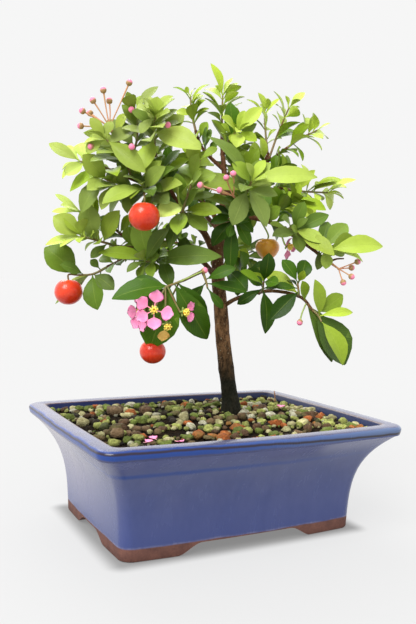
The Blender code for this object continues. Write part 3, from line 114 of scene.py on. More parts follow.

# sprays: name, carrier, share of it, stem points, pairs, leaf length, first turn, tries of small leaves,
# freshness with painted light, from dark, old and shaded at 0 to yellow-green, young and lit at 1, and how
# much a painted sheen pales them; then each leaf with a known tip: share of the stem, tip, width to length,
# freshness
sprayPlan = (
    ("spray_crown", "trunk", 1.0, ((-12, 213, -14), (-12, 224, -14)), 2, 17, 90, 4, 0.95, 0.0,
     ((1.0, (-20, 246, -10), 0.34, 0.72), (0.45, (-26, 225, -8), 0.5, 0.6), (0.45, (3, 224, -12), 0.5, 0.7),
      (1.0, (-7, 238, -12), 0.5, 1.0), (1.0, (-2, 236, -19), 0.3, 0.95))),
    ("spray_top_left", "upper_left_twig", 1.0, ((-34, 212, -13), (-35, 223, -14)), 2, 14, 90, 6, 0.85, 0.0,
     ((0.9, (-46, 229, -9), 0.3, 0.5), (0.8, (-23, 233, -14), 0.3, 0.75),
      (0.4, (-22, 214, -8), 0.34, 0.55))),
    ("spray_shoulder", "trunk", 0.9, ((-6, 192, -2), (-1, 194, 9)), 4, 20, 60, 12, 0.7, 0.0,
     ((0.45, (-6, 216, 2), 0.5, 0.3), (1.0, (15, 211, 10), 0.42, 0.85), (0.9, (12, 188, 12), 0.5, 0.5))),
    ("spray_upright", "upper_right_limb", 1.0, ((21, 205, -37), (20, 219, -40)), 2, 17, 0, 4, 0.95, 0.0,
     ((1.0, (16, 234, -40), 0.55, 0.8), (0.95, (8, 229, -36), 0.34, 0.8), (0.95, (31, 230, -40), 0.34, 0.8),
      (0.55, (10, 215, -30), 0.42, 0.6))),
    ("spray_fork_top", "right_fork", 0.3, ((30, 202, -34), (37, 220, -30)), 1, 17, 60, 4, 0.95, 0.0,
     ((0.8, (27, 233, -30), 0.4, 0.75), (1.0, (48, 232, -28), 0.42, 1.0), (1.0, (47, 225, -22), 0.3, 0.95),
      (0.4, (44, 210, -22), 0.6, 0.5))),
    ("spray_right_fork", "right_fork", 1.0, ((46, 198, -28), (58, 204, -26)), 0, 16, 90, 4, 0.95, 0.0,
     ((0.5, (40, 214, -24), 0.46, 0.8), (0.7, (51, 215, -27), 0.5, 0.6), (0.6, (62, 190, -22), 0.46, 0.65),
      (0.2, (49, 182, -22), 0.3, 0.45), (1.0, (67, 209, -24), 0.3, 0.9))),
    ("spray_right_upper", "right_bough", 1.0, ((45, 157, -8), (64, 156, -4)), 1, 20, 20, 9, 0.95, 0.0,
     ((0.5, (47, 176, -6), 0.4, 0.9), (0.95, (82, 167, -2), 0.26, 0.95), (1.0, (77, 160, 2), 0.46, 1.0),
      (0.5, (53, 139, -2), 0.5, 0.75), (0.6, (71, 165, 4), 0.36, 0.9), (0.2, (42, 141, -2), 0.3, 0.4))),
    ("spray_right_inner", "right_bough", 0.55, ((22, 166, -18), (34, 173, -26)), 4, 24, 20, 20, 0.35, 0.0,
     ()),
    ("spray_centre", "front_riser", 1.0, ((5, 151, 43), (7, 155, 49)), 3, 25, 45, 10, 0.4, 0.35,
     ((0.8, (-18, 184, 53), 0.24, 0.35), (1.0, (48, 160, 52), 0.3, 0.5), (0.9, (15, 169, 48), 0.42, 0.6),
      (0.3, (-36, 161, 48), 0.28, 0.45), (0.4, (-5, 128, 50), 0.5, 0.2), (0.5, (17, 127, 46), 0.46, 0.15))),
    ("spray_inner_front", "front_riser", 0.5, ((-3, 135, 24), (-4, 131, 29)), 2, 22, 30, 4, 0.15, 0.0,
     ((0.8, (-5, 98, 26), 0.3, 0.08), (0.7, (-16, 115, 33), 0.5, 0.12), (0.3, (9, 116, 26), 0.36, 0.2))),
    ("spray_mid_pale", "front_left_riser", 1.0, ((-55, 184, 52), (-54, 192, 57)), 6, 27, 70, 10, 0.45, 0.6,
     ((0.8, (-52, 203, 61), 0.62, 0.5), (0.5, (-26, 171, 66), 0.46, 0.55), (1.0, (-63, 181, 60), 0.55, 0.4),
      (0.3, (-62, 158, 62), 0.5, 0.5))),
    ("spray_upper_left", "umbel_twig", 0.5, ((-66, 182, 46), (-67, 197, 49)), 6, 26, 40, 7, 0.42, 0.45,
     ((1.0, (-54, 213, 50), 0.42, 0.22), (0.6, (-84, 176, 54), 0.5, 0.35),
      (0.2, (-72, 157, 57), 0.5, 0.5))),
    ("spray_left_shoot", "left_bough", 1.0, ((-90, 163, 46), (-102, 165, 46)), 2, 24, 0, 5, 0.9, 0.0,
     ((1.0, (-122, 177, 46), 0.34, 1.0), (1.0, (-113, 154, 48), 0.36, 0.95),
      (0.4, (-108, 147, 50), 0.42, 0.6))),
    ("spray_left_mid", "left_bough", 0.5, ((-74, 149, 42), (-87, 155, 46)), 6, 27, 45, 18, 0.45, 0.35,
     ((1.0, (-101, 133, 48), 0.46, 0.4), (0.7, (-88, 135, 50), 0.46, 0.45),
      (0.9, (-94, 172, 56), 0.56, 0.5))),
    ("spray_left_upper", "left_bough", 0.8, ((-74, 168, 52), (-84, 177, 58)), 5, 26, 45, 14, 0.45, 0.5,
     ((0.95, (-54, 165, 67), 0.36, 0.45), (1.0, (-96, 169, 60), 0.6, 0.45))),
    ("spray_left_thin", "left_riser", 1.0, ((-94, 131, 33), (-103, 134, 33)), 1, 22, 0, 3, 0.95, 0.0,
     ((1.0, (-121, 145, 32), 0.22, 1.0), (1.0, (-122, 134, 34), 0.26, 0.95),
      (0.3, (-99, 150, 34), 0.4, 0.6))),
    ("spray_left_green", "left_arm", 1.0, ((-92, 116, 33), (-101, 118, 39)), 1, 26, 90, 8, 0.55, 0.3,
     ((1.0, (-118, 131, 44), 0.66, 0.5), (0.6, (-97, 139, 44), 0.6, 0.3), (0.3, (-74, 136, 38), 0.5, 0.45),
      (1.0, (-124, 112, 42), 0.36, 0.95))),
    ("spray_cherry_left", "left_arm_fork", 1.0, ((-95, 94, 29), (-105, 93, 31)), 1, 22, 90, 2, 0.35, 0.15,
     ((1.0, (-126, 111, 34), 0.72, 0.29), (0.5, (-80, 86, 38), 0.6, 0.18), (0.5, (-97, 70, 34), 0.6, 0.27),
      (0.6, (-126, 74, 12), 0.36, 0.75), (0.8, (-114, 99, 42), 0.5, 0.3))),
    ("spray_inner_left", "left_arm", 0.55, ((-54, 104, 28), (-60, 103, 36)), 4, 26, 45, 12, 0.3, 0.2,
     ((0.8, (-90, 109, 38), 0.34, 0.5), (0.5, (-12, 110, 40), 0.32, 0.3), (0.8, (-66, 131, 42), 0.5, 0.35),
      (1.0, (-46, 124, 52), 0.46, 0.15))),
    ("spray_flowers", "front_arm", 1.0, ((-40, 89, 57), (-45, 87, 61)), 0, 24, 0, 0, 0.15, 0.0,
     ((0.8, (-78, 81, 60), 0.46, 0.14), (0.5, (-20, 53, 63), 0.42, 0.22), (0.3, (-18, 69, 50), 0.36, 0.1),
      (0.7, (-54, 47, 57), 0.55, 0.2), (0.9, (-70, 90, 50), 0.4, 0.05))),
    ("spray_front_low", "front_arm", 0.6, ((-20, 91, 40), (-19, 87, 47)), 0, 22, 0, 0, 0.12, 0.0,
     ((1.0, (-9, 74, 48), 0.34, 0.1), (0.5, (-34, 74, 36), 0.4, 0.1), (0.6, (7, 86, 36), 0.3, 0.15),
      (0.3, (-2, 100, 46), 0.4, 0.2), (0.1, (-29, 94, 22), 0.36, 0.1))),
    ("spray_bright", "left_limb", 0.6, ((-36, 136, 46), (-31, 152, 48), (-26, 168, 46)), 6, 25, 30,
     14, 0.45, 0.25,
     ((0.46, (-50, 131, 58), 0.7, 1.0), (0.3, (-12, 136, 52), 0.4, 0.45),
      (0.1, (-44, 114, 50), 0.42, 0.12))),
    ("spray_fruit_front", "left_limb", 1.0, ((-58, 148, 46), (-61, 148, 54)), 4, 27, 40, 14, 0.35, 0.3,
     ((1.0, (-84, 138, 66), 0.5, 0.45), (0.8, (-60, 163, 66), 0.5, 0.5), (0.3, (-38, 152, 60), 0.45, 0.5))),
    ("spray_right_pale", "right_arm", 0.86, ((56, 116, 26), (61, 114, 32)), 0, 24, 0, 4, 0.5, 0.25,
     ((1.0, (96, 119, 32), 0.38, 0.6), (1.0, (84, 109, 30), 0.24, 0.95), (0.6, (72, 133, 24), 0.55, 0.4),
      (0.3, (61, 134, 20), 0.5, 0.25), (0.2, (54, 101, 24), 0.5, 0.1))),
    ("spray_right_mid", "right_arm", 0.55, ((38, 128, 18), (42, 124, 25)), 0, 27, 90, 8, 0.4, 0.3,
     ((0.5, (59, 119, 28), 0.45, 0.55), (0.9, (62, 110, 38), 0.42, 0.6), (0.8, (23, 122, 34), 0.46, 0.2),
      (0.6, (61, 139, 20), 0.4, 0.25), (0.1, (22, 132, 18), 0.4, 0.4))),
    ("spray_right_top", "right_arm", 0.4, ((28, 141, 4), (38, 148, 6)), 2, 26, 20, 14, 0.45, 0.0,
     ((1.0, (61, 144, 10), 0.4, 0.5), (0.5, (49, 137, 18), 0.34, 0.7), (0.9, (53, 137, 0), 0.5, 0.8),
      (0.0, (7, 114, 14), 0.24, 0.15))),
    ("spray_inner_right", "trunk", 0.552, ((2, 97, 14), (8, 99, 19)), 0, 27, 0, 3, 0.2, 0.0,
     ((1.0, (20, 105, 25), 0.34, 0.15), (0.2, (7, 86, 26), 0.5, 0.15), (0.6, (6, 115, 12), 0.5, 0.7),
      (1.0, (19, 93, 20), 0.4, 0.45))),
    ("spray_low_right_in", "low_right_arm", 0.45, ((18, 86, 24), (18, 92, 30)), 0, 26, 0, 2, 0.1, 0.0,
     ((0.4, (21, 58, 30), 0.42, 0.05), (0.5, (1, 77, 27), 0.36, 0.05), (1.0, (20, 110, 44), 0.45, 0.1),
      (0.8, (2, 98, 34), 0.4, 0.3))),
    ("spray_low_right_mid", "low_right_arm", 0.83, ((41, 85, 34), (40, 92, 34)), 0, 24, 0, 1, 0.1, 0.0,
     ((0.4, (22, 68, 40), 0.44, 0.08), (1.0, (30, 107, 35), 0.55, 0.05), (0.9, (41, 108, 30), 0.62, 0.05),
      (0.6, (24, 90, 36), 0.34, 0.08), (0.1, (20, 99, 22), 0.42, 0.7), (1.0, (43, 99, 42), 0.5, 0.55))),
    ("spray_low_right_tip", "low_right_arm", 1.0, ((54, 71, 35), (56, 67, 37)), 0, 22, 0, 0, 0.3, 0.12,
     ((0.1, (74, 38, 31), 0.62, 0.1), (1.0, (69, 41, 49), 0.46, 0.46), (0.6, (53, 94, 42), 0.46, 0.55),
      (0.2, (72, 84, 28), 0.5, 0.42), (0.5, (77, 75, 34), 0.28, 0.68))),
    ("spray_back_left", "back_left_limb", 1.0, ((-50, 172, -26), (-62, 179, -30)), 6, 27, 0, 14, 0.35, 0.0,
     ()),
    ("spray_upper_back", "back_left_limb", 0.6, ((-29, 168, -12), (-32, 184, -6)), 6, 25, 30, 14, 0.5, 0.0,
     ()),
    ("spray_rear_left", "back_bough_left", 1.0, ((-48, 158, -66), (-57, 163, -76)), 6, 30, 45, 14, 0.3, 0.0,
     ()),
    ("spray_rear_right", "back_bough_right", 1.0, ((32, 156, -68), (43, 160, -76)), 6, 30, 45, 14, 0.3, 0.0,
     ()),
    ("spray_rear_top", "back_bough_right", 0.55, ((8, 164, -46), (10, 178, -54)), 5, 27, 45, 14, 0.3, 0.0,
     ()),
    ("spray_rear_low", "back_low_arm", 1.0, ((8, 112, -62), (15, 106, -72)), 5, 30, 45, 14, 0.3, 0.0, ()),
    ("spray_low_left_back", "back_low_left", 1.0, ((-64, 122, -53), (-74, 121, -59)), 6, 30, 45, 14, 0.3, 0.0,
     ()),
    ("spray_top_back", "top_back_shoot", 1.0, ((1, 203, -54), (2, 213, -58)), 4, 21, 45, 14, 0.65, 0.0, ()),
)

# fruits: name, carrier, share, centre, radius, taper
fruitPlan = (
    ("cherry_front", "spray_fruit_front", 0.9, (-59, 130, 63), 9.6, 0.0),
    ("cherry_left", "spray_cherry_left", 1.0, (-110, 82, 35), 9.2, 0.0),
    ("cherry_low", "spray_flowers", 0.2, (-53, 45.5, 47), 8.4, 0.0),
    ("cherry_ochre", "right_arm", 0.33, (22, 115, 3), 8.2, 0.2),
)

# flowers: name, carrier, share, centre, facing, turns of the petals
flowerPlan = (
    ("flower_front", "spray_flowers", 1.0, (-51, 73, 71), (0.1, 0.1, 1.0), (81, -14, -88, -150, 152), 1.0),
    ("flower_left", "spray_flowers", 0.9, (-59, 71, 61), (-0.8, -0.1, 0.7), (92, 180, -125, -72), 1.0),
    ("flower_low", "spray_flowers", 1.0, (-43, 64, 68), (0.3, -0.6, 0.8), (-100, -170), 0.9),
    ("flower_spent", "spray_flowers", 0.9, (-33, 72, 64), (0.8, -0.1, 0.6), (38, -30), 0.74),
    ("flower_right", "right_arm", 0.5, (35, 117, 16), (0.8, -0.5, 0.5), (0, -70, 70, 150), 0.8),
)

# bunches of buds: name, carrier, share, where the stalks part, buds
umbelPlan = (
    ("buds_left", "umbel_twig", 1.0, (-83, 186, 52), (
        (-71, 213, 54), (-87, 208, 54), (-93, 201, 56), (-84, 203, 48), (-99, 194, 58),
        (-101, 186, 52), (-96, 195, 48))),
    ("buds_right", "right_arm", 1.0, (68, 102, 26), (
        (80, 107, 28), (77, 103, 24), (76, 97, 30), (71, 93, 28))),
    ("buds_centre", "front_riser", 0.8, (-4, 146, 44), (
        (-5, 158, 58), (-9, 156, 54), (-13, 148, 56), (-25, 150, 62))),
)


def place(point):
    # millimetres of the tree to a point in the pot's frame
    a, u, t = point
    return foot + mm * (a * across + u * up + t * toward)


def heading(direction):
    a, u, t = direction
    return (a * across + u * up + t * toward).normalized()


def along(points, share):
    # the point at a share of a path's length, and the direction there
    lengths = [(b - a).length for a, b in zip(points, points[1:])]
    left = share * sum(lengths)
    for a, b, length in zip(points, points[1:], lengths):
        if left <= length:
            return a.lerp(b, left / length), (b - a).normalized()
        left -= length
    return points[-1].copy(), (points[-1] - points[-2]).normalized()


def acrossOf(direction):
    side = direction.cross(up)
    return side.normalized() if side.length > 0.1 else across.copy()


def leafOutline(s):
    # half width: sine of pi times s to the 1.25, to the 0.72
    return max(math.sin(math.pi * min(s, 1) ** 1.25), 0) ** 0.72


def petalOutline(s):
    return max(math.sin(math.pi * min(s, 1) ** 2.4), 0) ** 0.6


def bladeTemplate(rings):
    bm = bmesh.new()
    bmesh.ops.create_uvsphere(bm, u_segments=3, v_segments=rings + 1, radius=1)
    bmesh.ops.triangulate(bm, faces=bm.faces)
    bm.verts.index_update()
    spots = []
    for vert in bm.verts:
        share = ((1 + vert.co.z) / 2) ** 0.85
        if math.hypot(vert.co.x, vert.co.y) < 0.1:
            spots.append((share, 0, 0))
        elif abs(vert.co.x) < 0.1:
            spots.append((share, 0, -1))
        else:
            spots.append((share, -math.copysign(1, vert.co.x), 0))
    faces = [[v.index for v in face.verts] for face in bm.faces]
    bm.free()
    return spots, faces


largeBlade = bladeTemplate(3)
smallBlade = bladeTemplate(2)


def templateOf(blade):
    short = (blade[1] - blade[0]).length < tree["shortLeaf"] and blade[-1] is leafOutline
    return smallBlade if short else largeBlade


def bladePoints(blade, extra=0.0, lower=0.0):
    # corners of the plain blade that the growth rule tests, grown by extra and lowered
    base, tip, face, width, arch, fold, outline = blade
    ahead = (tip - base).normalized()
    base = base - ahead * tree["rootSink"]
    length = (tip - base).length
    side = face.cross(ahead)
    points = []
    for s, x, y in templateOf(blade)[0]:
        half = 0.5 * width * outline(s) + (extra if 0 < s < 1 else 0)
        rise = arch * length * 4 * s * (1 - s) + fold * abs(x) * half
        rise += y * (tree["bladeThickness"] + extra) + extra - lower
        points.append(base + ahead * (s * length + (2 * s - 1) * extra) + side * (x * half) + face * rise)
    return points


def facing(base, tip, hint):
    ahead = (tip - base).normalized()
    face = hint - ahead * hint.dot(ahead)
    return face.normalized() if face.length > 0.05 else acrossOf(ahead)


def lightHint(base):
    # a leaf turns its face up, outwards and, on the front half, to the viewer
    outward = base - place((-8, 0, 0))
    outward.z = 0
    front = min(max(0.5 + outward.dot(toward) / tree["frontDepth"], 0), 1)
    return up + 0.6 * outward.normalized() + 0.7 * front * toward


def openViews():
    # sleeves before the fruits and flowers in which no pair grows
    seen = [(centre, 0.9 * radius) for name, _, _, centre, radius, _ in fruitPlan if name != "cherry_low"]
    seen += [(centre, tree["viewRadius"]) for _, _, _, centre, *_ in flowerPlan]
    sleeves = []
    for centre, radius in seen:
        start = place(centre) + toward * tree["viewStart"]
        end = start + toward * tree["viewReach"]
        sleeves.append(("view", "tube", tubeTree([start, end], [radius * mm] * 2)))
    return sleeves


def tubeTree(points, radii):
    verts, faces = [], []
    for i, point in enumerate(points):
        radius = radii[i] * tree["sleeve"]
        ahead = (points[min(i + 1, len(points) - 1)] - points[max(i - 1, 0)]).normalized()
        side = acrossOf(ahead)
        other = ahead.cross(side)
        verts += [point + radius * way for way in (side, other, -side, -other)]
    for i in range(len(points) - 1):
        for j in range(4):
            k = (j + 1) % 4
            faces.append((4 * i + j, 4 * i + k, 4 * i + 4 + k, 4 * i + 4 + j))
    return BVHTree.FromPolygons(verts, faces)


def ballTree(centre, radius):
    bm = bmesh.new()
    bmesh.ops.create_uvsphere(bm, u_segments=10, v_segments=8, radius=radius)
    bmesh.ops.translate(bm, vec=centre, verts=bm.verts)
    found = BVHTree.FromBMesh(bm)
    bm.free()
    return found


def bladeTree(blade, extra, lower=0.0):
    return BVHTree.FromPolygons(bladePoints(blade, extra, lower), templateOf(blade)[1])


def fits(blade, node, taken, clear=tree["leafRoom"]):
    # clear of every other node, and its outer part of its own node's blades
    above, below = bladeTree(blade, clear), bladeTree(blade, clear, 2 * clear)
    outer = bladeTree((blade[0].lerp(blade[1], 0.2), *blade[1:]), tree["smallRoom"])
    for owner, kind, found in taken:
        if owner != node and (above.overlap(found) or below.overlap(found)):
            return False
        if owner == node and kind == "blade" and outer.overlap(found):
            return False
    return True


def tryBlade(base, ahead, length, width, node, taken, toFront=0.0):
    # the first of a row of turns and sizes of a leaf that fits
    hint = lightHint(base) + toFront * toward
    side = acrossOf(ahead)
    upward = side.cross(ahead)
    for size in (1.0, 0.85, 0.7):
        for turn, lift in ((0, 0), (0.3, 0), (-0.3, 0), (0, 0.3), (0, -0.3), (0.5, 0.3), (-0.5, 0.3),
                           (0.6, -0.3), (-0.6, -0.3), (0.9, 0), (-0.9, 0)):
            way = (ahead + turn * side + lift * upward).normalized()
            tip = base + way * length * size
            blade = (base, tip, facing(base, tip, hint), width * size, *tree["leafBend"], leafOutline)
            if fits(blade, node, taken):
                return blade
    return None


def taper(start, end, count):
    return [start + (end - start) * i / (count - 1) for i in range(count)]


def seat(paths, name, carrier, share, points, start, end):
    # a stub on the carrier, and a stem of its own that stands on the stub
    line, radii, node, _ = paths[carrier]
    root, _ = along(line, share)
    way = (points[0] - root).normalized()
    if share == 1:
        seatPoint = root + way * tree["stubReach"]
        line.append(seatPoint)
        radii.append(tree["stubRadius"])
    else:
        reach = radii[0] + (radii[-1] - radii[0]) * share + tree["stubReach"]
        seatPoint = root + way * reach
        paths[name + "_stub"] = ([root, seatPoint], [tree["stubRadius"]] * 2, node, 4)
    stem = [seatPoint + way * gap, *points]
    paths[name] = (stem, taper(start, end, len(stem)), name, 4)


def layOutPaths():
    paths = {"trunk": ([place(p) for _, p in trunkPoints], [r * mm for r, _ in trunkPoints], "trunk", 8)}
    for name, start, end, _, _, points in limbPlan:
        paths[name] = ([place(p) for p in points], taper(start * mm, end * mm, len(points)), "trunk", 6)
    for name, carrier, share, points, *_ in sprayPlan:
        seat(paths, name, carrier, share, [place(p) for p in points], tree["stemRadius"], tree["tipRadius"])
    for name, carrier, share, parting, _ in umbelPlan:
        seat(paths, name, carrier, share, [place(parting)], tree["stemRadius"], tree["stalkRadius"])
    for name, carrier, share, centre, radius, _ in fruitPlan:
        end = place(centre) + up * (tree["stalkSeat"] * radius * mm + gap)
        root, _ = along(paths[carrier][0], share)
        points = [root, end + up * tree["stalkRise"] * mm, end]
        paths[name + "_stalk"] = (points, [tree["stalkRadius"]] * 3, paths[carrier][2], 4)
    for name, carrier, share, centre, direction, _, _ in flowerPlan:
        back = place(centre) - heading(direction) * (tree["hubDepth"] / 2 + gap)
        bend = back - heading(direction) * tree["flowerBend"] * mm
        points = [along(paths[carrier][0], share)[0], bend, back]
        radii = [tree["stalkRadius"], tree["stalkRadius"], tree["stalkSwell"] * tree["stalkRadius"]]
        paths[name + "_stalk"] = (points, radii, paths[carrier][2], 4)
    return paths


def flowerAxes(direction):
    face = heading(direction)
    side = up.cross(face).normalized()
    return face, side, face.cross(side)


def pairTone(fresh, share):
    # leaves are fresher toward the tip of their stem
    return fresh * (tree["rootTone"] + tree["toneRise"] * share)


def grow():
    # fixed pieces first, then petals, then leaves with a known tip, then opposite pairs up each stem
    rng = random.Random(tree["seed"])
    paths = layOutPaths()
    taken = [(node, "tube", tubeTree(points, radii)) for points, radii, node, _ in paths.values()]
    for name, _, _, centre, radius, _ in fruitPlan:
        taken.append((name, "ball", ballTree(place(centre), (radius + tree["fruitRoom"]) * mm)))
    for name, _, _, centre, *_ in flowerPlan:
        taken.append((name + "_stamens", "ball", ballTree(place(centre), tree["hubRoom"])))
    for name, _, _, parting, buds in umbelPlan:
        for bud in buds:
            taken.append((name, "ball", ballTree(place(bud), tree["budRadius"])))
            taken.append((name, "tube", tubeTree([place(parting), place(bud)], [tree["pedicelRadius"]] * 2)))
    blades = {}

    def keep(name, blade, tone):
        blades.setdefault(name, []).append((*blade[:4], tone))
        taken.append((name, "blade", bladeTree(blade, 0)))

    for name, _, _, centre, direction, turns, size in flowerPlan:
        face, side, top = flowerAxes(direction)
        for turn in turns:
            angle = math.radians(turn)
            way = (side * math.cos(angle) + top * math.sin(angle) + tree["petalLift"] * face).normalized()
            base = place(centre)
            tip = base + way * tree["petalLength"] * size
            width = tree["petalWidth"] * size
            blade = (base, tip, facing(base, tip, face), width, *tree["petalBend"], petalOutline)
            if fits(blade, name, [item for item in taken if item[0] != name + "_stamens"], tree["petalRoom"]):
                keep(name, blade, size)
    for name, *_, known in sprayPlan:
        for share, tip, width, tone in known:
            base, _ = along(paths[name][0], share)
            ahead = place(tip) - base
            blade = tryBlade(base, ahead.normalized(), ahead.length, width * ahead.length, name, taken,
                             tree["knownToFront"])
            if blade:
                keep(name, blade, tone)
    taken += openViews()
    for name, _, _, _, pairs, length, phase, _, fresh, _, _ in sprayPlan:
        for pair in range(pairs):
            share = 1.0 if pair == pairs - 1 else 0.2 + 0.7 * pair / (pairs - 1)
            base, ahead = along(paths[name][0], share)
            side = acrossOf(ahead)
            top = side.cross(ahead)
            angle = math.radians(phase + 90 * pair)
            spread = math.radians(64 - 30 * share)
            for turn in (angle, angle + math.pi):
                out = side * math.cos(turn) + top * math.sin(turn)
                way = ahead * math.cos(spread) + out * math.sin(spread) - 0.16 * (1 - share) * up
                size = length * mm * (1 - 0.4 * share) * rng.uniform(0.85, 1.12)
                width = size * rng.uniform(0.42, 0.52)
                blade = tryBlade(base, way.normalized(), size, width, name, taken)
                if blade:
                    keep(name, blade, pairTone(fresh, share))
    return paths, blades, taken


# further leaves that the photo shows: stem or limb, then share of it, tip, width to length, tone
looseLeaves = (
    ("spray_flowers", ((0.7, (-53, 47, 56), 0.6, 0.33),)),
    ("low_right_arm", ((0.9, (64, 40, 33), 0.42, 0.22), (0.88, (43, 93, 38), 0.48, 0.5))),
    ("spray_cherry_left", ((0.6, (-124, 74, 10), 0.2, 0.4),)),
    ("spray_upright", ((0.55, (17, 222, -34), 0.62, 0.85),)),
    ("spray_fork_top", ((0.6, (26, 216, -30), 0.72, 0.6), (0.35, (40, 211, -28), 0.7, 0.4))),
    ("spray_right_fork", ((0.15, (40, 213, -24), 0.32, 0.45), (0.1, (50, 213, -26), 0.45, 0.65),
     (0.02, (60, 191, -20), 0.5, 0.72))),
    ("right_fork", ((0.9, (47, 184, -24), 0.3, 0.45),)),
    ("upper_right_limb", ((0.85, (35, 184, -22), 0.28, 0.35),)),
    ("spray_shoulder", ((0.6, (-1, 182, 8), 0.55, 0.35),)),
    ("upper_right_limb", ((0.35, (1, 185, -10), 0.5, 0.4), (0.45, (9, 189, -14), 0.55, 0.4),
     (0.6, (15, 189, -20), 0.5, 0.45), (0.4, (4, 174, -6), 0.5, 0.3), (0.6, (15, 174, -14), 0.5, 0.3),
     (0.75, (24, 176, -20), 0.45, 0.35))),
    ("spray_crown", ((0.3, (-24, 221, -6), 0.55, 0.75), (0.1, (0, 221, -10), 0.35, 0.65),
     (0.02, (-23, 206, -4), 0.6, 0.5))),
    ("spray_right_upper", ((0.3, (56, 171, -2), 0.4, 0.8), (0.5, (71, 165, 0), 0.28, 0.55),
     (0.2, (45, 150, 2), 0.3, 0.5))),
    ("right_bough", ((0.9, (30, 174, -4), 0.42, 0.4), (0.7, (18, 146, -2), 0.42, 0.25),
     (0.8, (38, 150, 0), 0.42, 0.3), (0.55, (35, 140, 4), 0.4, 0.2))),
    ("right_arm", ((0.35, (17, 144, 8), 0.4, 0.3), (0.45, (36, 139, 8), 0.42, 0.35),
     (0.6, (43, 131, 14), 0.4, 0.45), (0.7, (40, 118, 18), 0.38, 0.3), (0.78, (61, 127, 14), 0.4, 0.55),
     (0.9, (68, 117, 20), 0.35, 0.7))),
    ("spray_mid_pale", ((0.25, (-51, 202, 56), 0.62, 0.5),)),
    ("umbel_twig", ((0.9, (-69, 201, 52), 0.34, 0.75), (0.75, (-100, 184, 48), 0.34, 0.6),
     (0.8, (-93, 164, 56), 0.42, 0.6), (0.55, (-88, 160, 54), 0.38, 0.5))),
    ("left_bough", ((0.6, (-65, 162, 50), 0.38, 0.5),)),
    ("front_left_riser", ((0.9, (-41, 179, 54), 0.36, 0.55), (0.75, (-69, 171, 56), 0.3, 0.6),
     (0.6, (-33, 167, 50), 0.34, 0.45), (0.5, (-57, 157, 50), 0.36, 0.4),
     (0.35, (-32, 152, 44), 0.36, 0.3))),
    ("front_riser", ((0.9, (-13, 161, 46), 0.36, 0.5), (0.7, (-22, 146, 40), 0.34, 0.45),
     (0.95, (18, 151, 48), 0.36, 0.4))),
    ("left_riser", ((0.6, (-69, 133, 38), 0.42, 0.45),)),
    ("left_limb", ((0.75, (-52, 165, 30), 0.36, 0.35),)),
)

# small leaves that fill the crown, too many for the solids; each stem and limb states its tries
fill = {"stemFrom": 0.12, "limbFrom": 0.35, "length": (10, 20), "wide": (0.48, 0.64), "toFront": (0.0, 1.3),
        "ahead": 0.5, "lift": 0.25, "seed": 23}


def growFill(paths, taken):
    # further leaves up each stem and on short spurs along the limbs, each clear of all that stands already
    rng = random.Random(fill["seed"])
    extra = {}
    for host, leaves in looseLeaves:
        line, _, node, _ = paths[host]
        for share, tip, wide, tone in leaves:
            base, _ = along(line, share)
            ahead = place(tip) - base
            blade = tryBlade(base, ahead.normalized(), ahead.length, wide * ahead.length, node, taken,
                             tree["knownToFront"])
            if blade:
                extra.setdefault(host, []).append((*blade[:4], tone))
                taken.append((node, "blade", bladeTree(blade, 0)))
    hosts = [(name, fill["stemFrom"], tries, fresh) for name, *_, tries, fresh, _, _ in sprayPlan]
    hosts += [(name, fill["limbFrom"], tries, fresh) for name, _, _, tries, fresh, _ in limbPlan]
    for name, low, tries, fresh in hosts:
        line, _, node, _ = paths[name]
        for i in range(tries):
            share = low + (1 - low) * (i + rng.random()) / tries
            base, ahead = along(line, min(share, 1))
            side = acrossOf(ahead)
            top = side.cross(ahead)
            turn = rng.uniform(0, 2 * math.pi)
            size = rng.uniform(*fill["length"]) * mm
            for other in (0, math.pi):
                out = side * math.cos(turn + other) + top * math.sin(turn + other)
                way = (fill["ahead"] * ahead + out + fill["lift"] * up).normalized()
                tip = base + way * size * rng.uniform(0.85, 1.1)
                width = size * rng.uniform(*fill["wide"])
                hint = lightHint(base) + Vector([rng.uniform(-0.5, 0.5) for _ in range(3)])
                hint += toward * rng.uniform(*fill["toFront"])
                blade = (base, tip, facing(base, tip, hint), width, *tree["leafBend"], leafOutline)
                if fits(blade, node, taken, tree["smallRoom"]):
                    extra.setdefault(name, []).append((*blade[:4], pairTone(fresh, share)))
                    taken.append((node, "blade", bladeTree(blade, 0)))
    return extra


paths, blades, taken = grow()
leafCount = sum(len(items) for name, items in blades.items() if name.startswith("spray"))
extraBlades = growFill(paths, taken)
print("tree laid out:", leafCount, "leaves and", sum(map(len, extraBlades.values())), "small ones")


# meshes from whole arrays
def ringFaces(rows, around, first=0):
    # quads between rings that are each closed, and the two end caps
    i = np.arange(rows - 1)[:, None] * around
    j = np.arange(around)[None, :]
    k = (j + 1) % around
    quads = np.stack([i + j, i + k, i + around + k, i + around + j], -1).reshape(-1, 4) + first
    low = np.arange(around)[::-1] + first
    high = np.arange(around) + (rows - 1) * around + first
    return quads.tolist() + [low.tolist(), high.tolist()]


def stackFaces(count, rows, around):
    return [face for i in range(count) for face in ringFaces(rows, around, i * rows * around)]


def ballAngles(rows, around):
    # heights from pole to pole, without the poles, and turns round
    heights = np.linspace(-np.pi / 2, np.pi / 2, rows + 2)[1:-1]
    return heights, np.linspace(0, 2 * np.pi, around, endpoint=False)


def newObject(name, data):
    made = bpy.data.objects.new(name, data)
    bpy.context.scene.collection.objects.link(made)
    return made


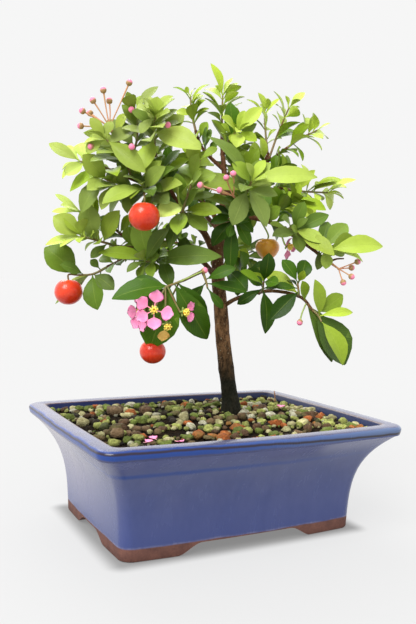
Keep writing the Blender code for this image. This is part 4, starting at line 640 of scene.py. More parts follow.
def meshPiece(name, verts, faces, slots, nodes=(), uv=None, marks=None, faceSlots=None,
              sharp=None):
    # a mesh from arrays: points, faces, one uv per point and named values per point
    mesh = bpy.data.meshes.new(name)
    mesh.from_pydata(np.asarray(verts, float) + middle, [], faces)
    corner = np.zeros(len(mesh.loops), np.int32)
    mesh.loops.foreach_get("vertex_index", corner)
    if uv is not None:
        layer = mesh.uv_layers.new(name="ownMap")
        layer.data.foreach_set("uv", np.asarray(uv, np.float32)[corner].ravel())
    for mark, values in (marks or {}).items():
        values = np.asarray(values, np.float32)
        kind = "FLOAT_COLOR" if values.ndim == 2 else "FLOAT"
        made = mesh.attributes.new(mark, kind, "POINT")
        if values.ndim == 2:
            full = np.concatenate([values, np.ones((len(values), 1), np.float32)], 1)
            made.data.foreach_set("color", full.ravel())
        else:
            made.data.foreach_set("value", values)
    for surface in slots:
        mesh.materials.append(surface)
    if faceSlots is not None:
        mesh.polygons.foreach_set("material_index", np.asarray(faceSlots, np.int32))
    mesh.shade_smooth()
    if sharp:
        mesh.set_sharp_from_angle(angle=math.radians(sharp))
    mesh.validate()
    piece = newObject(name, mesh)
    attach(piece, "root")
    if nodes:
        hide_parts(*nodes)
    return piece


class Bundle:
    # gathers the blocks of one piece
    def __init__(self):
        self.verts, self.faces, self.uv, self.marks, self.slots, self.count = [], [], [], {}, [], 0

    def add(self, verts, faces, uv=None, slot=0, **marks):
        n = len(verts)
        self.verts.append(np.asarray(verts, float))
        self.faces += [[self.count + i for i in face] for face in faces]
        self.uv.append(np.zeros((n, 2)) if uv is None else np.asarray(uv, float))
        for mark in {**self.marks, **marks}:
            value = marks.get(mark, 0.0)
            rows = self.marks.setdefault(mark, [np.zeros(self.count)] if self.count else [])
            rows.append(value if np.ndim(value) else np.full(n, value))
        self.slots += [slot] * len(faces)
        self.count += n

    def piece(self, name, slots, nodes=(), slotName=None, sharp=None):
        marks = {mark: np.concatenate(rows) for mark, rows in self.marks.items()}
        return meshPiece(name, np.concatenate(self.verts), self.faces, slots, nodes,
                         np.concatenate(self.uv), marks, self.slots, sharp)


def smoothPath(points, radii, rows):
    # a Catmull-Rom curve through the points, evenly stepped in the points' own count
    p = np.array([tuple(q) for q in points], float)
    r = np.array(radii, float)
    p = np.concatenate([[2 * p[0] - p[1]], p, [2 * p[-1] - p[-2]]])
    t = np.linspace(0, len(points) - 1, rows)
    k = np.minimum(t.astype(int), len(points) - 2)
    u = (t - k)[:, None]
    a, b, c, d = p[k], p[k + 1], p[k + 2], p[k + 3]
    square, cube = 2 * a - 5 * b + 4 * c - d, 3 * b - a - 3 * c + d
    line = 0.5 * (2 * b + (c - a) * u + square * u ** 2 + cube * u ** 3)
    return line, np.interp(t, np.arange(len(r)), r)


def pathFrames(line):
    # two directions square to a line at each of its points
    ahead = np.gradient(line, axis=0)
    ahead /= np.linalg.norm(ahead, axis=1)[:, None]
    helper = np.eye(3)[int(np.argmin(np.abs(ahead.mean(0))))]
    side = np.cross(ahead, helper)
    side /= np.linalg.norm(side, axis=1)[:, None]
    return side, np.cross(ahead, side)


# waves of a stem's surface: how many to a turn, and radians to a millimetre of its length
stemWaves = ((2, 0.21), (3, 0.37), (1, 0.13), (5, 0.6), (4, 0.9))


def sweep(bundle, points, radii, rows, around, rough, slot, seed):
    # a round tube: the path's point plus radius times (cos a, sin a) on the path's two side directions;
    # roughness adds waves of the angle and of the length to the radius
    line, radius = smoothPath(points, radii, rows)
    side, other = pathFrames(line)
    a = np.linspace(0, 2 * np.pi, around, endpoint=False)[None, :]
    far = np.concatenate([[0], np.cumsum(np.linalg.norm(np.diff(line, axis=0), axis=1))])[:, None] / mm
    wave = np.zeros((rows, around))
    dice = np.random.default_rng(seed)
    for turns, pitch in stemWaves:
        wave += np.sin(turns * a + far * pitch + dice.uniform(0, 6.28)) / (1 + turns)
    full = radius[:, None] * (1 + rough * wave)
    out = np.cos(a)[..., None] * side[:, None] + np.sin(a)[..., None] * other[:, None]
    verts = line[:, None] + full[..., None] * out
    uv = np.stack(np.broadcast_arrays(a / (2 * np.pi), far / 10), -1).reshape(-1, 2)
    bundle.add(verts.reshape(-1, 3), ringFaces(rows, around), uv, slot)


def bladeArrays(blades):
    # base, face, width and length of each leaf or petal, and its directions ahead and to the side
    base, tip, face = (np.array([tuple(blade[i]) for blade in blades]) for i in range(3))
    width = np.array([blade[3] for blade in blades])
    length = np.linalg.norm(tip - base, axis=1)
    ahead = (tip - base) / length[:, None]
    return base, face, width[:, None, None], length[:, None, None], ahead, np.cross(face, ahead)


def addBlades(bundle, base, ways, steps, u, v, **marks):
    # point = base + the sum of each direction times its step; u and v are the blade's own map
    points = base[:, None, None]
    for way, step in zip(ways, steps):
        points = points + way[:, None, None] * step[..., None]
    shape = points.shape[:3]
    uv = np.stack([np.broadcast_to(u, shape), np.broadcast_to(v, shape)], -1).reshape(-1, 2)
    marks = {name: np.broadcast_to(value, shape).ravel() for name, value in marks.items()}
    bundle.add(points.reshape(-1, 3), stackFaces(*shape), uv, 0, **marks)


# leaves of the sprays; tipHalf: half width of the last ring as a share of the leaf's width
leafShape = {"steps": (0, 0.05, 0.12, 0.24, 0.38, 0.53, 0.68, 0.82, 0.93, 1.0), "petiole": 2.2 * mm,
             "petioleHalf": 0.42 * mm, "thickness": 0.28 * mm, "rib": 0.3 * mm, "arch": (0.03, 0.11),
             "fold": (0.08, 0.34), "droop": (0.0, 0.13), "wave": 0.035, "roll": 0.26, "roundUnder": 16 * mm,
             "acuteOver": 30 * mm, "tipHalf": 0.03, "curl": (-0.03, 0.05), "bend": 0.05, "toneSpread": 0.10,
             "sheenShare": (0.3, 1.0), "sharp": 60}


def addLeaves(bundle, leaves, paintedSheen, seed):
    # all leaves of a spray at once: a closed flat ring of eight points carried from base to tip.
    # point = base + ahead * s * length + side * x * half width(s) + face * rise, where rise is the arch
    # 4 s (1 - s), the fold along the rib |x|, a wave at the edge and a droop of the tip s cubed
    if not leaves:
        return
    dice = np.random.default_rng(seed)
    n = len(leaves)
    base, face, width, long, ahead, side = bladeArrays(leaves)
    tone = np.array([leaf[4] for leaf in leaves])
    roll = dice.uniform(-leafShape["roll"], leafShape["roll"], (n, 1))
    side, face = side * np.cos(roll) + face * np.sin(roll), face * np.cos(roll) - side * np.sin(roll)
    s = np.array(leafShape["steps"])[None, :, None]
    x = np.array([1, 0.5, 0, -0.5, -1, -0.5, 0, 0.5])[None, None, :]
    under = np.array([0, 0, 0, 0, 0, 1, 1, 1.0])[None, None, :]
    start = leafShape["petiole"] / long
    t = np.clip((s - start) / (1 - start), 0, 1)
    # half width: sine of pi t to the 1.4, to the 0.66 on small leaves, which widen toward a round tip, and
    # sine of pi t to the 1.08, to the 0.8 on large ones, which are pointed at both ends
    short = leafShape["roundUnder"]
    pointed = np.clip((long - short) / (leafShape["acuteOver"] - short), 0, 1)
    pointed = np.clip(pointed + dice.uniform(-0.3, 0.3, (n, 1, 1)), 0, 1)
    swell = np.sin(np.pi * np.clip(t, 0.0, 0.995) ** (1.4 - 0.32 * pointed)).clip(0)
    outline = swell ** (0.66 + 0.14 * pointed)
    half = np.maximum(0.5 * width * outline, np.minimum(leafShape["petioleHalf"], 0.1 * long))
    half = np.where(s > 0.999, leafShape["tipHalf"] * width, half)
    arch = dice.uniform(*leafShape["arch"], (n, 1, 1))
    fold = dice.uniform(*leafShape["fold"], (n, 1, 1))
    droop = dice.uniform(*leafShape["droop"], (n, 1, 1))
    curl = dice.uniform(*leafShape["curl"], (n, 1, 1))
    rise = arch * long * 4 * s * (1 - s) + fold * np.abs(x) * half - droop * long * t ** 3
    wave = np.sin(7 * t + dice.uniform(0, 6.28, (n, 1, 1)))
    rise = rise + leafShape["wave"] * long * x ** 2 * wave * outline * 0.35
    rise = rise + curl * x * half
    rise = rise - under * (leafShape["thickness"] + leafShape["rib"] * (x == 0) * (1 - 0.7 * t))
    rise = rise - (1 - under) * (np.abs(x) < 0.1) * 0.12 * mm
    bend = dice.uniform(-leafShape["bend"], leafShape["bend"], (n, 1, 1)) * long * t ** 2
    spread = dice.uniform(-leafShape["toneSpread"], leafShape["toneSpread"], (n, 1, 1))
    fresh = np.clip(tone[:, None, None] + spread, 0, 1)
    # painted sheen: each leaf takes a random share of its spray's amount of painted sheen
    pale = paintedSheen * dice.uniform(*leafShape["sheenShare"], (n, 1, 1))
    addBlades(bundle, base, (ahead, side, face), (s * long, x * half + bend, rise), 0.5 + 0.5 * x, t,
              fresh=fresh, under=under, luck=dice.random((n, 1, 1)), pale=pale)


# materials: each method adds its nodes and gives back an output


class Wiring:
    # the nodes of one material or group
    def __init__(self, tree):
        self.nodes, self.links = tree.nodes, tree.links

    def put(self, socket, value):
        if isinstance(value, bpy.types.NodeSocket):
            self.links.new(value, socket)
        else:
            socket.default_value = (*value, 1) if socket.type == "RGBA" else value

    def add(self, kind, settings=None, **inputs):
        # i0, i1 and so on stand for inputs by their number
        made = self.nodes.new("ShaderNode" + kind)
        for key, value in (settings or {}).items():
            setattr(made, key, value)
        for key, value in inputs.items():
            self.put(made.inputs[int(key[1:]) if key[1:].isdigit() else key.replace("_", " ")], value)
        return made

    def maths(self, operation, first, second=0.0, third=None):
        made = self.add("Math", {"operation": operation}, i0=first, i1=second)
        if third is not None:
            self.put(made.inputs[2], third)
        return made.outputs[0]

    def times(self, *values):
        made = values[0]
        for value in values[1:]:
            made = self.maths("MULTIPLY", made, value)
        return made

    def plus(self, first, second):
        return self.maths("ADD", first, second)

    def less(self, first, second):
        return self.maths("SUBTRACT", first, second)

    def span(self, value, start, end, low=0.0, high=1.0, way="LINEAR"):
        # start to end drawn onto low to high, and held there beyond
        return self.add("MapRange", {"interpolation_type": way}, Value=value, From_Min=start, From_Max=end,
                        To_Min=low, To_Max=high).outputs[0]

    def blend(self, factor, first, second, kind="MIX"):
        return self.add("Mix", {"data_type": "RGBA", "blend_type": kind}, i0=factor, i6=first,
                        i7=second).outputs[2]

    def ramp(self, factor, stops):
        # a colour for each place from 0 to 1
        made = self.add("ValToRGB", i0=factor)
        bar = made.color_ramp.elements
        while len(bar) < len(stops):
            bar.new(0.5)
        for item, (spot, colour) in zip(bar, stops):
            item.position, item.color = spot, (*colour, 1)
        return made.outputs[0]

    def parts(self, vector):
        return self.add("SeparateXYZ", Vector=vector).outputs

    def stretched(self, vector, share):
        # a pattern drawn out upwards
        return self.add("Mapping", {"vector_type": "TEXTURE"}, Vector=vector, Scale=(1, 1, share)).outputs[0]

    def mark(self, name, output="Fac"):
        return self.add("Attribute", {"attribute_name": name}).outputs[output]

    def mottled(self, vector, coarse, fine, low=0.35, high=0.65):
        return self.add("Group", {"node_tree": mottle}, Vector=vector, Coarse=coarse, Fine=fine, Low=low,
                        High=high).outputs[0]

    def grained(self, vector, scale, strength, distance, height=0.0):
        return self.add("Group", {"node_tree": grain}, Vector=vector, Scale=scale, Strength=strength,
                        Distance=distance, Height=height).outputs[0]


class Skin(Wiring):
    # one material; uniform values are set on its shader
    def __init__(self, name, roughness, **uniform):
        self.made = bpy.data.materials.new(name)
        self.made.use_nodes = True
        super().__init__(self.made.node_tree)
        self.shader = self.nodes["Principled BSDF"]
        for key, value in {"Roughness": roughness, **uniform}.items():
            self.shader.inputs[key.replace("_", " ")].default_value = value
        self.spot = self.add("TexCoord").outputs["Object"]

    def ownMap(self):
        return self.parts(self.add("UVMap", {"uv_map": "ownMap"}).outputs[0])

    def finish(self, **channels):
        for key, value in channels.items():
            self.links.new(value, self.shader.inputs[key.replace("_", " ")])
        return self.made


def effectGroup(name, values, result, kind):
    # a group with a Vector, its named numbers and one output
    group = bpy.data.node_groups.new(name, "ShaderNodeTree")
    group.interface.new_socket(name="Vector", in_out="INPUT", socket_type="NodeSocketVector")
    for key, value in values.items():
        socket = group.interface.new_socket(name=key, in_out="INPUT", socket_type="NodeSocketFloat")
        socket.default_value = value
    group.interface.new_socket(name=result, in_out="OUTPUT", socket_type=kind)
    given = group.nodes.new("NodeGroupInput").outputs
    return group, Wiring(group), given, group.nodes.new("NodeGroupOutput").inputs[result]


def mottleGroup():
    # two noises, one coarse and one fine, as a mask between Low and High
    values = {"Coarse": 100.0, "Fine": 600.0, "Low": 0.35, "High": 0.65}
    group, wiring, given, result = effectGroup("mottle", values, "Mask", "NodeSocketFloat")
    coarse = wiring.add("TexNoise", Vector=given["Vector"], Scale=given["Coarse"], Detail=3.0).outputs[0]
    fine = wiring.add("TexNoise", Vector=given["Vector"], Scale=given["Fine"], Detail=2.0).outputs[0]
    both = wiring.maths("MULTIPLY_ADD", fine, 0.35, wiring.times(coarse, 0.65))
    wiring.put(result, wiring.span(both, given["Low"], given["High"]))
    return group


def grainGroup():
    # a fine bump from noise: Distance is the height of its grains in metres
    values = {"Scale": 800.0, "Strength": 0.3, "Distance": 0.0003, "Height": 0.0}
    group, wiring, given, result = effectGroup("grain", values, "Normal", "NodeSocketVector")
    noise = wiring.add("TexNoise", Vector=given["Vector"], Scale=given["Scale"], Detail=4.0).outputs[0]
    bump = wiring.add("Bump", Strength=given["Strength"], Distance=given["Distance"],
                      Height=wiring.plus(noise, given["Height"]))
    wiring.put(result, bump.outputs[0])
    return group


mottle, grain = mottleGroup(), grainGroup()

# tones: colours of the upper face from old and shaded to fresh and lit, partly painted light; veins: waves
# along the leaf, how far they lean, and tint
leafLook = {"tones": ((0.0, (0.014, 0.048, 0.002)), (0.25, (0.054, 0.130, 0.006)), (0.5, (0.20, 0.30, 0.012)),
                      (0.75, (0.36, 0.47, 0.042)), (1.0, (0.46, 0.57, 0.12))),
            "underTones": ((0.0, (0.10, 0.17, 0.020)), (0.9, (0.40, 0.52, 0.06))), "paintedSheen": (0.44, 0.49, 0.15),
            "rib": (0.32, 0.40, 0.06), "ribHalf": (0.030, 0.006), "ribTint": 0.22, "ribDepth": 0.8,
            "veins": 62.0, "veinLean": 0.55, "veinDepth": 0.35, "veinTint": 0.16, "patch": 0.16,
            "bright": (0.80, 1.28), "gloss": (0.28, 0.46), "specular": 0.13, "mottle": (90.0, 600.0),
            "grain": (1400.0, 0.5, 0.00018)}


def leafMaterial():
    look = leafLook
    skin = Skin("leafSkin", 0.40, Specular_IOR_Level=look["specular"])
    u, v, _ = skin.ownMap()
    fresh, under, luck, pale = map(skin.mark, ("fresh", "under", "luck", "pale"))
    off = skin.maths("ABSOLUTE", skin.less(u, 0.5))
    # side veins run forward from the rib: a wave of v less a share of the distance from it
    wave = skin.maths("SINE", skin.times(skin.less(v, skin.times(off, look["veinLean"])), look["veins"]))
    vein = skin.times(skin.maths("POWER", skin.maths("ABSOLUTE", wave), 10.0), look["veinDepth"])
    rib = skin.span(off, *look["ribHalf"])
    mask = skin.mottled(skin.spot, *look["mottle"])
    # each leaf is a little yellower or darker in patches
    patch = skin.times(skin.less(mask, 0.5), look["patch"])
    top = skin.blend(skin.times(vein, look["veinTint"]), skin.ramp(fresh, look["tones"]), look["rib"])
    colour = skin.blend(under, top, skin.ramp(fresh, look["underTones"]))
    colour = skin.blend(skin.times(rib, look["ribTint"]), colour, look["rib"])
    # painted sheen: each leaf's pale value blends it toward a pale grey-green, standing in for the light's
    # sheen on its face
    colour = skin.blend(pale, colour, look["paintedSheen"])
    bright = skin.plus(skin.span(luck, 0, 1, *look["bright"]), patch)
    height = skin.less(0.0, skin.plus(vein, skin.times(rib, look["ribDepth"])))
    return skin.finish(Base_Color=skin.add("HueSaturation", Color=colour, Value=bright).outputs[0],
                       Roughness=skin.span(mask, 0, 1, *look["gloss"]),
                       Normal=skin.grained(skin.spot, *look["grain"], height))


# rise, foot: heights in metres between which the bark turns redder higher up and darker towards the foot;
# cells: its pale pores
barkLook = {"footDark": (0.006, 0.008, 0.003), "body": (0.22, 0.115, 0.050), "crack": (0.060, 0.028, 0.010),
            "pore": (0.46, 0.36, 0.22), "high": (0.125, 0.048, 0.020), "stretch": 2.6,
            "cracks": (380.0, 1500.0, 0.40, 0.56), "rise": (0.150, 0.195), "riseTint": 0.8,
            "foot": (0.120, 0.090), "footTint": 0.97, "cells": 430.0, "poreHalf": (0.26, 0.16),
            "poreShare": 0.55, "poreTint": 0.75, "grain": (700.0, 0.9, 0.0009)}


def barkMaterial():
    look = barkLook
    skin = Skin("barkSkin", 0.78, Specular_IOR_Level=0.2)
    height = skin.parts(skin.spot)[2]
    tall = skin.stretched(skin.spot, look["stretch"])
    crack = skin.mottled(tall, *look["cracks"])
    colour = skin.blend(crack, look["crack"], look["body"])
    colour = skin.blend(skin.times(skin.span(height, *look["rise"]), look["riseTint"]), colour, look["high"])
    low = skin.span(height, *look["foot"])
    colour = skin.blend(skin.times(low, look["footTint"]), colour, look["footDark"])
    cells = skin.add("TexVoronoi", Vector=skin.spot, Scale=look["cells"], Randomness=1.0)
    pore = skin.span(cells.outputs["Distance"], *look["poreHalf"])
    chance = skin.add("SeparateColor", Color=cells.outputs["Color"]).outputs[0]
    pore = skin.times(pore, skin.maths("GREATER_THAN", chance, look["poreShare"]), skin.less(1.0, low))
    colour = skin.blend(skin.times(pore, look["poreTint"]), colour, look["pore"])
    return skin.finish(Base_Color=colour, Normal=skin.grained(tall, *look["grain"], skin.plus(crack, pore)))


# bands: four heights in mm between which a colour fades in and out
glazeLook = {"slate": (0.070, 0.092, 0.230), "deep": (0.044, 0.062, 0.180), "low": (0.028, 0.044, 0.165),
             "pale": (0.160, 0.165, 0.280), "cobalt": (0.004, 0.040, 0.22), "navy": (0.003, 0.009, 0.055),
             "breakAndShade": (0.022, 0.011, 0.008), "teal": (0.085, 0.13, 0.24), "lavender": (0.062, 0.062, 0.115),
             "paintedSheen": (0.40, 0.37, 0.43), "rim": (0.085, 0.036, 0.016), "clay": (0.155, 0.066, 0.048),
             "clayDark": (0.090, 0.038, 0.030), "line": (0.34, 0.30, 0.34), "stretch": 3.5,
             "flow": (90.0, 420.0, 0.34, 0.66), "cloud": (26.0, 90.0, 0.36, 0.66),
             "clayMottle": (160.0, 900.0),
             "poolBand": (51.2, 52.6, 53.6, 55.2), "highlightBandUnderLip": (56.0, 61.0, 64.0, 65.5),
             "grooveBreakAndShade": (64.4, 65.2, 65.8, 66.6), "lipBand": (65.6, 66.4, 70.4, 70.9),
             "brownLine": (68.2, 68.9, 69.5, 70.3), "brownFall": 2.6, "crestBand": (70.3, 70.85, 71.3, 73.0),
             "footLine": (7.2, 7.8, 8.2, 9.0), "bare": (8.0, 7.4), "sink": (42, 8), "paintedSheenRun": (4, 62),
             "crest": (70.2, 71.0), "wander": 0.8, "leftToRight": (-50, 75), "gloss": (0.20, 0.30),
             "coat": 0.15, "grain": (120.0, 0.02, 0.00010)}


def glazeMaterial():
    look = glazeLook
    skin = Skin("blueGlaze", 0.24, Coat_Weight=look["coat"], Coat_Roughness=0.12, Specular_IOR_Level=0.32)
    along, _, height = skin.parts(skin.spot)
    flow = skin.mottled(skin.stretched(skin.spot, look["stretch"]), *look["flow"])
    cloud = skin.mottled(skin.spot, *look["cloud"])
    # the height is shifted a little by the noise, so that no band is drawn with a ruler
    level = skin.plus(height, skin.times(skin.less(cloud, 0.5), look["wander"] * mm))

    def between(value, ends):
        return skin.span(value, ends[0] * mm, ends[1] * mm)

    def band(base, name, amount, colour, at=level):
        low, lowIn, highIn, high = look[name]
        share = skin.times(between(at, (low, lowIn)), between(at, (high, highIn)), amount)
        return skin.blend(share, base, colour)

    colour = skin.blend(skin.times(flow, 0.6), look["deep"], look["slate"])
    colour = skin.blend(skin.times(cloud, 0.18), colour, look["pale"])
    colour = skin.blend(skin.times(between(height, look["sink"]), 0.65), colour, look["low"])
    # the pools of glaze are strong at the front's left and fade to the right
    right = between(along, look["leftToRight"])
    left = skin.less(1.0, right)
    colour = band(colour, "poolBand", skin.maths("MULTIPLY_ADD", left, 0.75, 0.15), look["cobalt"])
    # painted highlight: a paler band on the wall just under the lip
    colour = band(colour, "highlightBandUnderLip", 0.35, look["pale"])
    # painted sheen: the short left side is painted white below the lip, standing in for the light reflected
    # there
    paintedSheenShare = skin.times(between(height, look["paintedSheenRun"]), skin.mark("west"), 0.92)
    colour = skin.blend(paintedSheenShare, colour, look["paintedSheen"])
    # painted shade: a dark brown line in the groove under the lip, where the glaze breaks, darkened further
    # as the shade there; strongest at the left
    colour = band(colour, "grooveBreakAndShade", skin.times(left, 0.45), look["breakAndShade"])
    colour = band(colour, "lipBand", 0.9, skin.blend(right, look["cobalt"], look["teal"]))
    # the brown line where the glaze breaks over the edge: high on the lip at the left, low at the right
    fallen = skin.plus(level, skin.times(right, look["brownFall"] * mm))
    colour = band(colour, "brownLine", 0.9, look["breakAndShade"], fallen)
    colour = band(colour, "crestBand", 0.85, look["lavender"])
    inner = skin.mark("inside")
    colour = skin.blend(skin.times(inner, 0.95), colour, look["navy"])
    colour = skin.blend(skin.times(skin.mark("edge"), 0.85), colour, look["rim"])
    colour = band(colour, "footLine", skin.times(flow, 0.3), look["line"])
    clay = skin.blend(skin.mottled(skin.spot, *look["clayMottle"]), look["clayDark"], look["clay"])
    bare = between(level, look["bare"])
    rough = skin.plus(skin.times(bare, 0.5), skin.span(flow, 0, 1, *look["gloss"]))
    dull = skin.maths("MAXIMUM", skin.maths("MAXIMUM", bare, inner), between(height, look["crest"]))
    return skin.finish(Base_Color=skin.blend(bare, colour, clay),
                       Roughness=skin.plus(skin.times(inner, 0.22), rough),
                       Coat_Weight=skin.times(skin.less(1.0, dull), look["coat"]),
                       Normal=skin.grained(skin.spot, *look["grain"]))


# flesh: two colours of the skin, the one round the stalk and that of its pale dots
fruitLook = {"ripeSkin": ((0.54, 0.020, 0.007), (0.72, 0.058, 0.017), (0.76, 0.15, 0.035),
                          (0.86, 0.24, 0.10)),
             "ochreSkin": ((0.66, 0.20, 0.020), (0.70, 0.36, 0.04), (0.34, 0.34, 0.04), (0.80, 0.48, 0.14)),
             "mottle": (110.0, 700.0, 0.32, 0.68), "cells": 900.0, "dotHalf": (0.22, 0.10), "dotTint": 0.25,
             "crownTint": 0.7, "grain": (900.0, 0.15, 0.0002)}


def fruitMaterial(name):
    look = fruitLook
    skin = Skin(name, 0.28, Coat_Weight=0.28, Coat_Roughness=0.12, Specular_IOR_Level=0.25)
    first, second, crown, dot = look[name]
    colour = skin.blend(skin.mottled(skin.spot, *look["mottle"]), first, second)
    colour = skin.blend(skin.times(skin.mark("crown"), look["crownTint"]), colour, crown)
    cells = skin.add("TexVoronoi", Vector=skin.spot, Scale=look["cells"])
    dots = skin.span(cells.outputs["Distance"], *look["dotHalf"])
    return skin.finish(Base_Color=skin.blend(skin.times(dots, look["dotTint"]), colour, dot),
                       Normal=skin.grained(skin.spot, *look["grain"]))


petalLook = {"tones": ((0.0, (0.84, 0.50, 0.36)), (0.4, (0.86, 0.24, 0.42)), (0.75, (0.88, 0.22, 0.44)),
                       (1.0, (0.92, 0.38, 0.58))), "streak": (0.80, 0.16, 0.38), "streaks": 44.0,
             "streakTint": 0.25, "pale": (0.96, 0.56, 0.72),
             "spent": ((0.70, 0.42, 0.05), (0.88, 0.62, 0.12)),
             "mottle": (300.0, 1100.0), "grain": (900.0, 0.4, 0.00025)}


def petalMaterial():
    look = petalLook
    skin = Skin("petalSkin", 0.6, Specular_IOR_Level=0.25)
    u, v, _ = skin.ownMap()
    wave = skin.maths("SINE", skin.times(u, look["streaks"]))
    streak = skin.times(skin.maths("POWER", skin.maths("ABSOLUTE", wave), 4.0), look["streakTint"])
    mask = skin.mottled(skin.spot, *look["mottle"])
    colour = skin.blend(streak, skin.ramp(v, look["tones"]), look["streak"])
    colour = skin.blend(skin.times(mask, 0.2), colour, look["pale"])
    colour = skin.blend(skin.mark("spent"), colour, skin.blend(mask, *look["spent"]))
    return skin.finish(Base_Color=colour, Normal=skin.grained(skin.spot, *look["grain"], streak))


stoneLook = {"shade": (0.45, 0.42, 0.36), "mottle": (420.0, 1600.0, 0.38, 0.62), "moss": (0.16, 0.20, 0.06),
             "mossPatches": (60.0, 300.0, 0.50, 0.62), "mossTint": 0.30, "grain": (1300.0, 0.9, 0.0006)}


def stoneMaterial():
    look = stoneLook
    skin = Skin("pumiceSkin", 0.85, Specular_IOR_Level=0.2)
    own = skin.mark("stone", "Color")
    mask = skin.mottled(skin.spot, *look["mottle"])
    colour = skin.blend(mask, skin.blend(1.0, own, look["shade"], "MULTIPLY"), own)
    moss = skin.times(skin.mottled(skin.spot, *look["mossPatches"]), look["mossTint"])
    return skin.finish(Base_Color=skin.blend(moss, colour, look["moss"]),
                       Normal=skin.grained(skin.spot, *look["grain"], mask))


# plain skins: roughness, two colours by the mottle and, on some, a third where the piece's "ripe" value is
# high, then the scales of the mottle, and the grain
soft = (260.0, 1200.0), (1600.0, 0.3, 0.0001)
plainLooks = {
    "greenStem": (0.5, ((0.17, 0.20, 0.045), (0.20, 0.080, 0.032)), (220.0, 900.0), (1500.0, 0.4, 0.0001)),
    "screenSkin": (0.5, ((0.012, 0.012, 0.012), (0.03, 0.03, 0.028)), (200.0, 900.0), (1200.0, 0.3, 0.0001)),
    "stamenSkin": (0.55, ((0.85, 0.46, 0.02), (0.92, 0.62, 0.04), (0.96, 0.74, 0.12)), *soft),
    "budSkin": (0.55, ((0.32, 0.22, 0.06), (0.42, 0.22, 0.10), (0.85, 0.22, 0.36)), *soft),
    "stalkSkin": (0.55, ((0.62, 0.26, 0.14), (0.50, 0.30, 0.12), (0.36, 0.40, 0.10)), *soft),
    "calyxSkin": (0.55, ((0.22, 0.32, 0.06), (0.34, 0.42, 0.10), (0.45, 0.50, 0.14)), *soft)}


def plainMaterial(name):
    roughness, colours, scales, grainLook = plainLooks[name]
    skin = Skin(name, roughness)
    colour = skin.blend(skin.mottled(skin.spot, *scales), *colours[:2])
    if len(colours) > 2:
        colour = skin.blend(skin.mark("ripe"), colour, colours[2])
    return skin.finish(Base_Color=colour, Normal=skin.grained(skin.spot, *grainLook))


# the ground between the stones: dark soil, painted darker still as the shade in the gaps
soilLook = {"colours": ((0.004, 0.003, 0.0015), (0.022, 0.013, 0.006)), "mottle": (240.0, 1100.0, 0.38, 0.62),
            "grain": (500.0, 1.0, 0.0015)}


def soilMaterial():
    skin = Skin("soilSkin", 0.95, Specular_IOR_Level=0.05)
    mask = skin.mottled(skin.spot, *soilLook["mottle"])
    return skin.finish(Base_Color=skin.blend(mask, *soilLook["colours"]),
                       Normal=skin.grained(skin.spot, *soilLook["grain"], mask))


leafSkin, barkSkin, glazeSkin, stoneSkin = leafMaterial(), barkMaterial(), glazeMaterial(), stoneMaterial()
soilSkin, petalSkin = soilMaterial(), petalMaterial()
ripeSkin, ochreSkin = fruitMaterial("ripeSkin"), fruitMaterial("ochreSkin")
stemSkin, screenSkin, stamenSkin, budSkin, stalkSkin, calyxSkin = map(plainMaterial, plainLooks)
print("materials made")

# stems and stalks: rows to each point or in all, points round, roughness; sink: start inside the stub, mm
stems = {"rows": 4, "around": 8, "rough": 0.08, "sink": 1.2, "stalkRows": 14, "stalkRough": 0.05}


def buildSprays():
    # each spray: its stem, its leaves as the solids have them and the small ones between
    for i, (name, *_, paintedSheen, _) in enumerate(sprayPlan):
        bundle = Bundle()
        line, radii, _, _ = paths[name]
        addLeaves(bundle, blades.get(name, []) + extraBlades.get(name, []), paintedSheen, 100 + i)
        start = [line[0] - (line[1] - line[0]).normalized() * stems["sink"] * mm, *line[1:]]
        sweep(bundle, start, radii, stems["rows"] * len(line), stems["around"], stems["rough"], 1, i)
        for path, (points, radii, owner, _) in paths.items():
            if owner == name and path != name:
                sweep(bundle, points, radii, stems["stalkRows"], stems["around"], stems["stalkRough"], 1, i)
        bundle.piece(name + "_leaves", [leafSkin, stemSkin], [name], "leaf", leafShape["sharp"])
    print("sprays built:", len(sprayPlan))


# trunk and limbs; knots: place in the tree's mm, how far each swells and how wide
wood = {"trunkRows": 130, "trunkAround": 28, "limbRows": 30, "limbAround": 14, "rough": 0.05,
        "limbRough": 0.09, "stubRough": 0.06, "stubSwell": 1.25, "flare": 1.7 * mm, "flareRun": 7 * mm,
        "flareFrom": -6 * mm, "spurPaintedSheen": 0.1,
        "knots": ((-6.5, 29.5, 2, 2.6, 3.5), (-9.5, 48, 3, 2.2, 3.0), (-3, 72, 4, 1.8, 2.6))}


